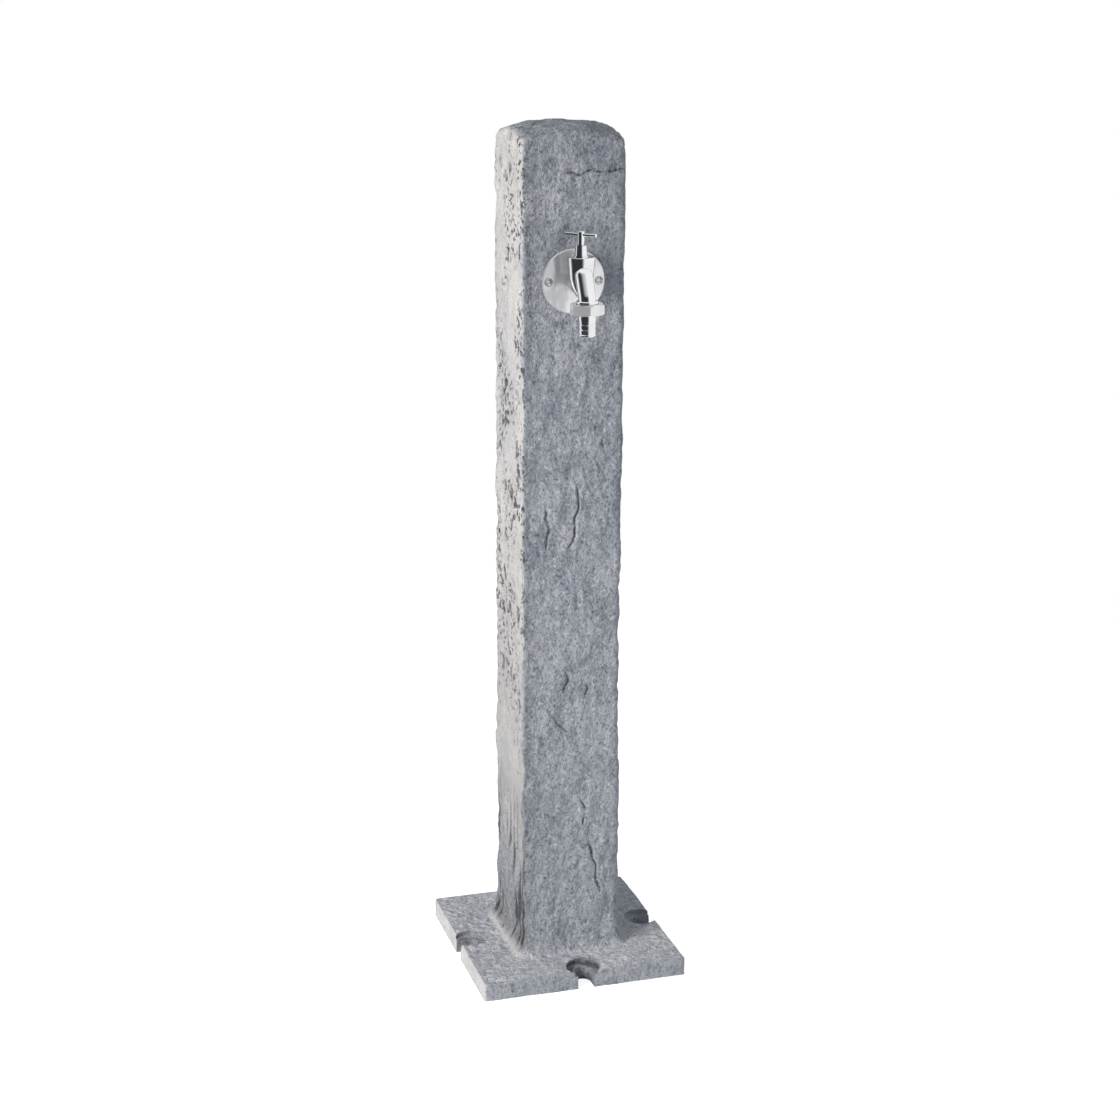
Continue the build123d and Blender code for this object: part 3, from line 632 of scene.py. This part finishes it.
# How far the right side stands out at heights on the column, in millimetres
RIGHT_WAVE = [(60, 1.0), (220, 1.6), (320, -0.2), (430, -0.9), (600, 1.0), (790, 0.2), (915, 1.6), (945, 1.9),
              (962, 0.4), (990, 0.2)]

# Painted light: lightness of the front and of the left side at heights on the column, in metres.
# The front grows darker towards the top and the left side towards the bottom, as the key lamp's light falls.
FRONT_PAINTED_LIGHT = [(0.05, 0.99), (0.3, 0.97), (0.6, 0.95), (0.85, 0.86), (0.98, 0.79)]
LEFT_PAINTED_LIGHT = [(0.03, 0.62), (0.10, 0.72), (0.25, 0.86), (0.6, 0.98), (0.98, 0.97)]

# A long slit in the left side, at its distance behind the front and its height, and a scoop on the
# front under the crown, at its place across and up: each with its reach both ways, in metres
SLIT = ((0.005, 0.21), (0.002, 0.022))
SCOOP = ((-0.024, 0.958), (0.011, 0.007))

# Points along the front, right, back and left of a ring
SIDE_COLUMNS = (72, 34, 26, 54)
FOOT_COLUMNS = (110, 90, 70, 100)
CORNER_COLUMNS = 4
SHAFT_ROWS = 400


def ring(half_x, half_y, corners, columns=SIDE_COLUMNS):
    """Rounded rectangle from the front left corner anticlockwise, with as many points on each side
    as the columns say and a quarter circle at each corner. Corners: front right, back right, back
    left, front left."""
    radii = np.array(corners, float)[:, None]
    ways = np.array([(0, -1), (1, 0), (0, 1), (-1, 0)])
    centres = np.array([(1, -1), (1, 1), (-1, 1), (-1, -1)]) * ((half_x, half_y) - radii)
    starts = np.roll(centres, 1, axis=0) + ways * np.roll(radii, 1, axis=0)
    ends = centres + ways * radii
    points = []
    for side, count in enumerate(columns):
        share = np.linspace(0, 1, count + 1)[:, None]
        points.append(starts[side] + share * (ends[side] - starts[side]))
        turn = np.radians(side * 90 - 90 + 90 * np.arange(1, CORNER_COLUMNS) / CORNER_COLUMNS)
        points.append(centres[side] + radii[side] * np.stack([np.cos(turn), np.sin(turn)], -1))
    return np.concatenate(points)


def with_height(flat, height):
    """Ring of points at a height, which may differ from point to point."""
    return np.concatenate([flat, np.broadcast_to(np.asarray(height, float), (len(flat),))[:, None]], -1)


def dome_rings(half_x, half_y, corners, edge, top, radius, steps):
    """Rings from near the pole of a domed top out to its rounded rim. The height is that of a sphere
    over the point, less a quarter circle's drop inside the rim; the corners grow rounder inwards."""
    rings = []
    rim = edge * (1 - np.sin(np.radians([15, 30, 45, 60, 75, 90])))
    for inset in np.concatenate([np.linspace(half_x * 0.97, edge, steps), rim]):
        share = inset / half_x
        inner_x, inner_y = half_x - inset, half_y - inset * half_y / half_x
        rounded = [min(corner + (half_x - corner) * share ** 1.5, inner_x * 0.98) for corner in corners]
        flat = ring(inner_x, inner_y, rounded)
        height = top - radius + np.sqrt(radius ** 2 - (flat ** 2).sum(-1))
        rings.append(with_height(flat, height - edge + math.sqrt(edge ** 2 - (edge - min(inset, edge)) ** 2)))
    return rings


def column_rings():
    """Rings over the dome, down the sides to the ground, under the wall and up the hollow inside."""
    rings = dome_rings(POST_X, POST_Y, CORNERS, CROWN_EDGE, TOP - CREST_ROOM, CROWN_RADIUS, 22)
    rim = rings[-1]
    outer = len(rings) + SHAFT_ROWS - 1
    for share in np.linspace(0, 1, SHAFT_ROWS)[1:]:
        rings.append(with_height(rim[:, :2], rim[:, 2] * (1 - share)))
    inner_x, inner_y = POST_X - WALL, POST_Y - WALL
    inside = dome_rings(inner_x, inner_y, INNER_CORNERS, CROWN_EDGE / 2, TOP - WALL, CROWN_RADIUS - WALL, 4)
    rim = inside[-1]
    for share in np.linspace(0, 1, 9)[:-1]:
        rings.append(with_height(rim[:, :2], rim[:, 2] * share))
    return np.array(rings + inside[::-1]), outer


def foot_rings():
    """Rings from the head of the flare, tucked into the column, down to the foot's top, out to its
    edge, down its side, under it and up again inside the column's wall."""
    rings = []

    def put(half_x, half_y, corners, height):
        rings.append(with_height(ring(half_x, half_y, corners, FOOT_COLUMNS), height))

    head = FOOT_TOP + FLARE_UP
    for turn in np.radians(np.linspace(0, 90, 16)):
        out = FLARE_OUT * (1 - math.cos(turn))
        tuck = FLARE_TUCK * math.cos(turn)
        corners = [corner + out for corner in CORNERS]
        put(POST_X + out - tuck, POST_Y + out - tuck, corners, head - FLARE_UP * math.sin(turn))
    flat_end = FOOT_HALF - FOOT_EDGE
    flared = (POST_X + FLARE_OUT, POST_Y + FLARE_OUT)
    for share in np.linspace(0, 1, 30)[1:]:
        corners = [(corner + FLARE_OUT) * (1 - share) + last * share
                   for corner, last in zip(CORNERS, FOOT_CORNERS)]
        half_x, half_y = (start + (flat_end - start) * share for start in flared)
        put(half_x, half_y, corners, FOOT_TOP)
    for turn in np.radians([30, 60, 90]):
        half = flat_end + FOOT_EDGE * math.sin(turn)
        put(half, half, FOOT_CORNERS, FOOT_TOP - FOOT_EDGE * (1 - math.cos(turn)))
    for height in np.linspace(FOOT_TOP - FOOT_EDGE, 0, 12)[1:]:
        put(FOOT_HALF, FOOT_HALF, FOOT_CORNERS, height)
    outer = len(rings)
    inner_x, inner_y = POST_X - WALL / 2, POST_Y - WALL / 2
    put((FOOT_HALF + inner_x) / 2, (FOOT_HALF + inner_y) / 2, FOOT_CORNERS, 0)
    for height in (0, FOOT_TOP / 2, FOOT_TOP, head):
        put(inner_x, inner_y, FOOT_CORNERS, height)
    return np.array(rings), outer


def grid_normals(rings):
    """Outward normals of a grid of rings, from the cross product of its two directions."""
    along = np.gradient(rings, axis=0)
    around = (np.roll(rings, -1, axis=1) - np.roll(rings, 1, axis=1)) / 2
    normal = np.cross(along, around)
    return normal / np.maximum(np.linalg.norm(normal, axis=-1, keepdims=True), 1e-12)


class Relief:
    """Relief as it is built up: its height in millimetres, and how deep a point sits in a hollow, which the
    finish paints as shade.
    """

    def __init__(self, count):
        self.height = np.zeros(count)
        self.hollow = np.zeros(count)

    def sink(self, depth, shade):
        """Takes the depth off the height, and makes the hollow at least as deep as the shade."""
        self.height -= depth
        self.hollow = np.maximum(self.hollow, shade)


def zones(points, normals):
    """How far each point lies in each zone, from 0 to 1. A face is twice the normal's part that way
    less 0.6; the ground is the level face below the flare's head, and the slab the foot's outer
    edge. The low and high parts are ramps in height, and the near edge is a bell curve across the
    left side, centred 13 mm behind the front."""
    x, y, z = points.T
    toward, away = (np.clip(sign * normals * 2 - 0.6, 0, 1).T for sign in (1, -1))
    low = z < FOOT_TOP + FLARE_UP
    ground = toward[2] * low
    slab = (np.maximum(np.abs(x), np.abs(y)) > FOOT_HALF - 3 * MM).astype(float)
    return SimpleNamespace(
        front=away[1], left=away[0], right=toward[0], back=toward[1], level=toward[2], low=low, ground=ground,
        slab=slab, shaft=(1 - ground) * (1 - slab), low_part=np.clip((0.28 - z) / 0.18, 0, 1),
        high_part=np.clip((z - 0.25) / 0.15, 0, 1), edge_near=np.exp(-((y + POST_Y - 0.013) / 0.022) ** 2),
    )


def add_roughness(stone, points, at):
    """Waves, lumps and grain are layered noise, added with a weight for each zone. Fissures are cut
    into them, and the grain's lowest places are hollows. The right side stands out as its table
    says. Gives the wave and the grain."""
    wave, lump, grain = (field(points, name) for name in ("wave", "lump", "grain"))
    crest = at.level * (1 - at.low)
    lump_weight = 1.7 + 0.5 * crest - 0.9 * at.ground
    stone.height += 0.75 * wave * at.shaft + lump_weight * lump + (0.42 + 0.5 * crest) * grain
    walls = fissures(points, "wall") * (at.front + at.right + at.back)
    lines = np.clip(walls + 0.8 * fissures(points, "rim") * (at.level + 0.4 * at.front), 0, 1)
    stone.sink(1.1 * lines, (0.40 + 0.30 * at.ground) * lines)
    stone.sink(0, 0.55 * np.clip(-grain * 1.5 - 0.55, 0, 1))
    heights, stands = np.array(RIGHT_WAVE, float).T
    stone.height += np.interp(points[:, 2], heights * MM, stands) * at.right * at.shaft
    return wave, grain


def add_fibres(stone, points, at):
    """Upright grooves low on the left side and, fainter, on the front: noise drawn out in height and
    weighted by the low part. Its lowest places on the left are hollows."""
    fibre = field(points, "fibre")
    on_front = 0.9 * field(points, "front_fibre") * at.low_part * at.front * at.shaft
    stone.height += fibre * (0.10 + 3.0 * at.low_part) * at.left * at.shaft + on_front
    stone.sink(0, np.clip(-fibre * 2.2 - 0.2, 0, 0.9) * at.low_part * at.left * at.shaft)


def add_pits(stone, points, at):
    """Pits of two sizes on the left side, in crowds that a broad noise and the near edge gather,
    shallow ones on the other sides, and the slit. Noise shifts each pit's outline. A pit sinks by
    its own depth, a big one by the power 1.5 of it. Gives the crowding."""
    x, y, z = points.T
    wander = field(points, "wander") * 0.004
    ragged = field(points, "ragged") * 2.2 * MM
    big = pits(y + wander, z + 2 * wander + ragged, "big") * (0.62 + 0.50 * at.edge_near)
    small = pits(y + wander, z + 0.3 * y + ragged, "small") * (0.85 + 0.25 * at.edge_near)
    crowd = np.clip(0.75 + 1.9 * field(points, "crowding") + 0.45 * at.edge_near, 0.10, 1.25)
    crowd = crowd * np.interp(z, [0.25, 0.42], [0.3, 1])
    big = big * crowd * at.left * at.shaft * at.high_part
    small = small * crowd * at.left * at.shaft * (0.35 + 0.65 * at.high_part)
    front_pit = pits(x + wander, z - 0.4 * x, "front") * at.front * at.shaft
    other_pit = pits(x + y + wander, z, "other") * (at.right + at.back) * at.shaft
    stone.sink(2.4 * np.sqrt(big) * big + 1.3 * small + 0.7 * front_pit + 1.0 * other_pit,
               np.maximum(np.sqrt(big), 0.85 * np.sqrt(small)))
    stone.sink(0, np.maximum(0.26 * front_pit, 0.35 * other_pit))
    (behind, up), (reach_back, reach_up) = SLIT
    slit = np.exp(-((y + POST_Y - behind + wander) / reach_back) ** 2 - ((z - up) / reach_up) ** 4) * at.left
    stone.sink(3.5 * slit, slit)
    return crowd


def add_chips(stone, points, at):
    """Chips along the upright edges: the high places of a noise, times a bell curve round the corner."""
    x, y, _ = points.T
    at_corner = np.exp(-((np.abs(x) - POST_X) ** 2 + (np.abs(y) - POST_Y) ** 2) / (7 * MM) ** 2) * at.shaft
    chip = np.clip(field(points, "chip") - 0.05, 0, 1)
    stone.sink(3.0 * chip * at_corner, 0.35 * chip * at_corner * at.left)


def add_cracks(stone, points, at):
    """Cracks of the front: a bell-shaped groove along each route, whose place and width noise
    shifts, with a ledge that fades out on one side of it. The scoop is a bell curve both ways."""
    x, _, z = points.T
    warp_x, warp_z = (field(points, name) * 2.4 * MM for name in ("warp_x", "warp_z"))
    width = np.clip(1.1 + 1.3 * field(points, "crack_width"), 0.25, 1.3)
    for route, depth, ledge in FRONT_CRACKS:
        signed = along_route(x + warp_x, z + warp_z, route)
        line = np.exp(-(signed / (1.3 * MM)) ** 2) * at.front * width
        side = (signed * np.sign(ledge) > 0) * np.exp(-np.abs(signed) / (9 * MM)) * at.front
        stone.height += abs(ledge) * side - 1.3 * depth * line
        stone.sink(0, 0.70 * line)
    (across, up), (reach_across, reach_up) = SCOOP
    scoop = np.exp(-(((x - across) / reach_across) ** 2 + ((z - up) / reach_up) ** 2)) * at.front
    stone.sink(2.4 * scoop, 0.45 * scoop)


def shape_foot(stone, points, at, grain):
    """Ridges on the foot's top, as high as a noise is far from zero, with hollows between them.
    The slab's own height is cut to 0.3 of it, less 0.35 mm, so that its edges stay straight."""
    ridge = np.abs(field(points, "ridge"))
    stone.height += at.ground * (1.9 * ridge - 0.8 + 0.3 * grain)
    stone.sink(0, at.ground * np.clip(0.5 - 4 * ridge, 0, 0.5))
    stone.height = np.where(at.slab > 0, stone.height * 0.30 - 0.35, stone.height)


def colouring(points, normals, at, wave, crowd):
    """What the finish needs besides the hollows. The painted light and shade follows the tables of
    the front and the left side, darker by bell curves at the front's left edge and, as painted shade,
    where the flare slants. The left side, up to a wandering line at the front edge, and partly the foot
    get the lighter, warmer ground painted for the key lamp's light. Fine pits are mostly on the left,
    where the big ones crowd."""
    x, y, z = points.T
    # Painted light and shade from the two tables
    front_painted_light, left_painted_light = (np.interp(z, *np.array(table).T) for table in (FRONT_PAINTED_LIGHT, LEFT_PAINTED_LIGHT))
    painted_light_and_tone = front_painted_light * (1 - at.left) + left_painted_light * at.left
    painted_light_and_tone -= 0.25 * np.exp(-((x + POST_X) / (12 * MM)) ** 2) * at.front
    painted_light_and_tone += 0.05 * np.exp(-((x - POST_X) / (13 * MM)) ** 2) * at.front
    painted_light_and_tone = np.where(at.slab > 0, 1.0 + 0.22 * at.left, painted_light_and_tone * (1 - at.ground) + 1.20 * at.ground)
    # Painted shade where the flare slants between the column and the foot
    slant = np.clip(normals[:, 2], 0, 1)
    painted_light_and_tone -= 0.55 * slant * (1 - slant) * at.low * (1 - at.slab) * (1 - 0.4 * at.front)
    # Painted light: how much of the lighter, warmer ground painted for the key lamp's light each point gets
    warm_light = np.clip(at.left + 0.42 * at.ground, 0, 1) * (0.92 + 0.3 * wave)
    warm_light = np.clip(warm_light - 0.55 * at.low_part * at.left * at.shaft, 0, 1)
    line = field(points, "edge") * 3 * MM
    warm_light *= np.clip((y + POST_Y - 1.5 * MM + line) / (3 * MM), 0, 1) * at.shaft + 1 - at.shaft
    left_pits = (0.65 + 0.5 * at.edge_near) * at.left * crowd * (0.3 + 0.7 * at.high_part)
    pitted = np.clip(0.25 * at.front + left_pits, 0, 1)
    pitted = np.clip(pitted + 0.4 * (at.right + at.back), 0, 1) * (1 - at.slab)
    return {"painted_light_and_tone": painted_light_and_tone, "warm_light": warm_light, "pitted": pitted}


def relief(points, normals):
    """Height of the stone's relief in millimetres, the sum of all the parts above, and what its
    finish needs at each point: how deep it sits in a hollow, painted as shade, its painted light and
    shade, how much of the lighter, warmer ground painted for the key lamp's light it gets, and how pitted."""
    at = zones(points, normals)
    stone = Relief(len(points))
    wave, grain = add_roughness(stone, points, at)
    add_fibres(stone, points, at)
    crowd = add_pits(stone, points, at)
    add_chips(stone, points, at)
    add_cracks(stone, points, at)
    shape_foot(stone, points, at, grain)
    return stone.height, {"hollow": stone.hollow, **colouring(points, normals, at, wave, crowd)}


def clothe(rings, outer):
    """Pushes the outer rings along their normals by the relief, which fades out round the wall plate
    so that it lies flat. Gives the moved rings and the values for the finish."""
    rows, columns, _ = rings.shape
    normals = grid_normals(rings).reshape(-1, 3)
    points = rings.reshape(-1, 3)
    height, values = relief(points, normals)
    outside = np.repeat(np.arange(rows) < outer, columns)
    plate = np.hypot(points[:, 0] - PLATE_X, points[:, 2] - PLATE_Z)
    near = np.clip(1 - (plate - PLATE_RADIUS) / PLATE_EASE, 0, 1) * (points[:, 1] < -POST_Y * 0.9)
    height = np.where(outside, height * (1 - near) - 0.15 * near, 0)
    points = points + normals * height[:, None] * MM
    points[:, :2] = np.clip(points[:, :2], -FOOT_HALF, FOOT_HALF)
    points[:, 2] = np.clip(points[:, 2], 0, TOP)
    for name in ("hollow", "pitted"):
        values[name] = np.where(outside, values[name] * (1 - near), 0)
    values["painted_light_and_tone"] = np.where(outside, values["painted_light_and_tone"], 0.8)
    return points.reshape(rows, columns, 3), values


def settle(piece, angle):
    """Smooth shading with sharp edges only where faces meet at more than the angle."""
    piece.data.polygons.foreach_set("use_smooth", np.ones(len(piece.data.polygons), bool))
    piece.data.set_sharp_from_angle(angle=math.radians(angle))
    piece.data.update()


def make_column():
    """Stone skin of the column: rings closed by a fan at each pole, bored for the tap's inlet and
    the plate's two screws."""
    rings, outer = column_rings()
    rings, values = clothe(rings, outer)
    rows, columns, _ = rings.shape
    poles = [(0, 0, rings[end, :, 2].mean()) for end in (0, -1)]
    points = np.concatenate([rings.reshape(-1, 3), poles])
    skin = put_mesh("column_stone", points, capped_faces(rows, columns))
    store(skin, {name: np.append(numbers, numbers[[0, -1]]) for name, numbers in values.items()})
    bores = []
    for across, radius in ((0, INLET_HOLE), (-SCREW_REACH, SCREW_HOLE), (SCREW_REACH, SCREW_HOLE)):
        bore, sides = prism(circle(radius, BORE_POINTS), POST_Y - WALL * 1.5, POST_Y + WALL)
        bore = np.stack([bore[:, 0] + PLATE_X + across, -bore[:, 2], bore[:, 1] + PLATE_Z], -1)
        bores.append((bore, sides))
    cut(skin, joined("bores", bores))
    settle(skin, STONE_ANGLE)
    return skin


def make_foot():
    """Stone skin of the foot: a grid closed both ways, cut by four open-ended slots and the round
    recess over each."""
    rings, outer = foot_rings()
    rings, values = clothe(rings, outer)
    rows, columns, _ = rings.shape
    skin = put_mesh("foot_stone", rings.reshape(-1, 3), ring_faces(rows, columns, closed_rows=True).tolist())
    store(skin, values)
    turn = np.linspace(np.pi / 2, 3 * np.pi / 2, 25)
    middle = FOOT_HALF - SLOT_INSET
    slot = np.stack([middle + SLOT_HALF * np.cos(turn), SLOT_HALF * np.sin(turn)], -1)
    slot = np.concatenate([slot, [(FOOT_HALF * 1.1, -SLOT_HALF), (FOOT_HALF * 1.1, SLOT_HALF)]])
    recess = circle(RECESS_RADIUS, RECESS_POINTS) + (middle, 0)
    for outline, low in ((slot, -FOOT_TOP), (recess, FOOT_TOP - RECESS_DEPTH)):
        prisms = []
        x, y = outline.T
        for cosine, sine in ((1, 0), (0, 1), (-1, 0), (0, -1)):
            side = np.stack([x * cosine - y * sine, x * sine + y * cosine], -1)
            prisms.append(prism(side, low, FOOT_TOP * 3))
        cut(skin, joined("slots", prisms))
    settle(skin, STONE_ANGLE)
    return skin


# Metal


def solid(name, rings, columns):
    """Closed mesh over rings of points, with a fan at each end and its faces turned outwards."""
    points = np.concatenate([*rings, [np.mean(rings[0], 0), np.mean(rings[-1], 0)]]) * MM
    made = put_mesh(name, points, capped_faces(len(rings), columns))
    mesh = bmesh.new()
    mesh.from_mesh(made.data)
    bmesh.ops.recalc_face_normals(mesh, faces=mesh.faces)
    mesh.to_mesh(made.data)
    mesh.free()
    return made


def turned(name, profile, place=(0, 0, 0), axis="z", columns=TURNED_COLUMNS, pole=POLE):
    """Turned solid: circles of the profile's radii at its heights along an axis through a place,
    closed at each end down to the pole's radius."""
    rings = []
    for radius, height in [(pole, profile[0][1]), *profile, (pole, profile[-1][1])]:
        first, second = circle(radius, columns).T
        along = np.full(columns, float(height))
        points = np.stack([first, second, along] if axis == "z" else [first, along, second], -1)
        rings.append(points + np.array(place, float))
    return solid(name, rings, columns)


def spout_route(end):
    """Points of the spout's bent axis as (y, z): straight, a circle's arc that touches both runs,
    straight. The arc starts at its radius times the tangent of half the bend from the corner."""
    root, corner = np.array(SPOUT_ROOT, float), np.array(SPOUT_BEND, float)
    way = (corner - root) / np.linalg.norm(corner - root)
    bend = math.acos(-way[1])
    start = corner - way * SPOUT_TURN * math.tan(bend / 2)
    centre = start + SPOUT_TURN * np.array([-way[1], way[0]])
    y, z = start - centre
    arc = []
    for turn in np.linspace(0, bend, 9):
        cosine, sine = math.cos(turn), math.sin(turn)
        arc.append(centre + np.array([y * cosine - z * sine, y * sine + z * cosine]))
    straight = [root + (start - root) * share for share in np.linspace(0, 1, 13)[:-1]]
    last = np.array((SPOUT_END[0], end)) - arc[-1]
    return np.array(straight + arc + [arc[-1] + last * share for share in (0.5, 1)])


def spout(name, first_radius, last_radius, end):
    """Round bar along the spout's axis, whose radius runs evenly from first to last. It begins with
    half a ball."""
    route = spout_route(end)
    ways = np.gradient(route, axis=0)
    ways /= np.linalg.norm(ways, axis=-1, keepdims=True)
    stations = []
    for ball in np.radians(np.linspace(4, 84, 11)):
        place = route[0] - ways[0] * first_radius * math.cos(ball)
        stations.append((place, ways[0], first_radius * math.sin(ball)))
    stations += zip(route, ways, np.linspace(first_radius, last_radius, len(route)))
    rings = []
    for (y, z), (along_y, along_z), radius in stations:
        across, out = circle(radius, TURNED_COLUMNS).T
        rings.append(np.stack([across, y - out * along_z, z + out * along_y], -1))
    return solid(name, rings, TURNED_COLUMNS)


def belly():
    """Side of the barrel from its foot up to its waist: a circle's arc that bulges by its sagitta."""
    foot, waist = np.array([BODY_FOOT_RADIUS, BODY_FOOT], float), np.array([WAIST_RADIUS, WAIST], float)
    chord = waist - foot
    half = np.linalg.norm(chord) / 2
    radius = (half ** 2 + BELLY_BULGE ** 2) / (2 * BELLY_BULGE)
    out = np.array([chord[1], -chord[0]]) / (2 * half)
    points = []
    for share in np.linspace(-1, 1, 15):
        rise = math.sqrt(radius ** 2 - (half * share) ** 2) - (radius - BELLY_BULGE)
        points.append(tuple((foot + waist) / 2 + chord / 2 * share + out * rise))
    return points


def make_valve_body():
    """Smooth valve body: barrel, inlet neck, spout and outlet in one, bored like the casting. The
    barrel is its belly, a cone up to the rim, and a quarter circle round the rim."""
    turns = np.radians(np.linspace(90, 0, 6))
    rim = [(BODY_RADIUS - CHAMFER * (1 - math.sin(turn)), BODY_TOP - CHAMFER * (1 - math.cos(turn)))
           for turn in turns]
    rise, widening = BODY_TOP - CHAMFER - WAIST, BODY_RADIUS - WAIST_RADIUS
    cone = [(WAIST_RADIUS + widening * share, WAIST + rise * share) for share in (0.3, 0.6)]
    body = turned("valve_skin", belly() + cone + rim)
    neck = [(NECK_RADIUS, 0), (NECK_RADIUS, NECK_REACH), (INLET_RADIUS, NECK_REACH),
            (INLET_RADIUS, INLET_REACH)]
    outlet = [(OUTLET_RADIUS, SPOUT_END[1]), (OUTLET_RADIUS, COLLAR_LOW), (COLLAR_RADIUS, COLLAR_LOW),
              (COLLAR_RADIUS, COLLAR_HIGH - CHAMFER), (COLLAR_RADIUS - CHAMFER, COLLAR_HIGH)]
    added = [turned("neck", neck, axis="y"), spout("spout", *SPOUT_RADII, SPOUT_END[1]),
             turned("outlet", outlet, place=(0, SPOUT_END[0], 0))]
    for part in added:
        carve(body, part, "UNION")
    chamber = [(CHAMBER_RADIUS, CHAMBER_FLOOR), (CHAMBER_RADIUS, MOUTH_FLOOR), (MOUTH_RADIUS, MOUTH_FLOOR),
               (MOUTH_RADIUS, BODY_TOP + PAST)]
    bores = [turned("bore", [(NECK_BORE, -NECK_BORE_END), (NECK_BORE, INLET_REACH + PAST)], axis="y"),
             spout("bore", SPOUT_BORE, SPOUT_BORE, SPOUT_END[1] - PAST), turned("bore", chamber)]
    for part in bores:
        carve(body, part)
    carve(body, turned("seat", [(SEAT_RADIUS, SEAT_FOOT), (SEAT_RADIUS, SEAT_TOP)]), "UNION")
    carve(body, turned("bore", [(SEAT_BORE, 0), (SEAT_BORE, SEAT_TOP + PAST)]))
    body.data.transform(Matrix.Translation(TAP))
    settle(body, METAL_ANGLE)
    return body


def make_screws():
    """The plate's two screws, each a shank under a countersunk head with a dished socket."""
    profile = [(SHANK_RADIUS, SHANK_LENGTH), (SHANK_RADIUS, HEAD_DEPTH), (HEAD_RADIUS, HEAD_EDGE),
               (DISH_RIM, 0), (DISH_RIM - DISH_LIP, DISH_LIP_DEPTH), (DISH_RADIUS, DISH_DEPTH)]
    made = []
    for side in (-1, 1):
        place = (PLATE_X / MM + side * SCREW_REACH / MM, PLATE_LOW[1] / MM, PLATE_Z / MM)
        made.append(turned("screw_skin", profile, place, "y", SCREW_COLUMNS, SCREW_POLE))
    carve(made[0], made[1], "UNION")
    settle(made[0], METAL_ANGLE)
    return made[0]


def dress(piece, finish, slot, *nodes):
    """Material and body of a piece that stands for the nodes. The slot is not used."""
    piece.data.materials.clear()
    piece.data.materials.append(finish)
    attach(piece, "standpipe")
    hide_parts(*nodes)


# Light


KEY_PLACE, KEY_AIM = (-2.15, -1.05, 1.35), (0, 0, 0.5)
KEY_SIZE, KEY_POWER, KEY_COLOR = 1.1, 62, (1, 0.965, 0.925)


def make_light():
    """White background, even fill that is a little weaker from above, a dark studio flag that only
    polished metal reflects, and a soft key lamp on the left that no mirror shows."""
    world = bpy.data.worlds.new("studio")
    bpy.context.scene.world = world
    world.use_nodes = True
    tree = world.node_tree
    path = tree.nodes.new("ShaderNodeLightPath")
    seen = maths(tree, "MAXIMUM", path.outputs["Is Camera Ray"], path.outputs["Is Transmission Ray"])
    way = tree.nodes.new("ShaderNodeTexCoord").outputs["Generated"]
    up = add(tree, "ShaderNodeSeparateXYZ", {"Vector": way}).outputs[2]
    fill = mix(tree, ramp(tree, up, -0.1, 0.9), (0.50, 0.525, 0.555, 1), (0.33, 0.35, 0.38, 1))
    dark = maths(tree, "MULTIPLY", flagged(tree, way), ramp(tree, up, 0.80, 0.45))
    mirrored = mix(tree, dark, (1, 1, 1, 1), (0.035, 0.038, 0.045, 1))
    color = mix(tree, path.outputs["Is Glossy Ray"], fill, mirrored)
    tree.links.new(mix(tree, seen, color, (1, 1, 1, 1)), tree.nodes["Background"].inputs["Color"])
    data = bpy.data.lights.new("key", "AREA")
    data.shape = "SQUARE"
    data.size = KEY_SIZE
    data.energy = KEY_POWER
    data.color = KEY_COLOR
    lamp = bpy.data.objects.new("key", data)
    way = Vector(KEY_AIM) - Vector(KEY_PLACE)
    lamp.matrix_world = Matrix.Translation(KEY_PLACE) @ way.to_track_quat("-Z", "Y").to_matrix().to_4x4()
    lamp.visible_glossy = False
    bpy.context.scene.collection.objects.link(lamp)


def make_finishes():
    """Every material under the record's slot names, and the nut's own satin one."""
    group = clouding_group()
    finishes = {name: clouded(group, name, *values) for name, values in FINISHES.items()}
    return {"granite_cast": granite(), "brushed_plate": brushed_steel(), **finishes}


def make_scene():
    """Camera, finishes, the skins of stone and metal, the floor and the light."""
    make_camera()
    finishes = make_finishes()
    slots = {row["node"]: row["material_slot"] for row in frame["record"]["subparts"]}
    for node, shape in frame["nodes"].items():
        shape.data.materials.clear()
        shape.data.materials.append(finishes["satin_chrome" if node == "union_nut" else slots[node]])
    skins = {"column": make_column, "foot": make_foot, "valve_body": make_valve_body,
             "rosette_screws": make_screws}
    for node, make in skins.items():
        dress(make(), finishes[slots[node]], slots[node], node)
    edge = with_height(circle(FLOOR_RADIUS, FLOOR_POINTS), 0)
    floor = put_mesh("floor", edge, [list(range(FLOOR_POINTS))])
    floor.data.materials.append(floor_finish())
    make_light()
    bpy.context.scene.view_settings.view_transform = "Standard"


make_scene()
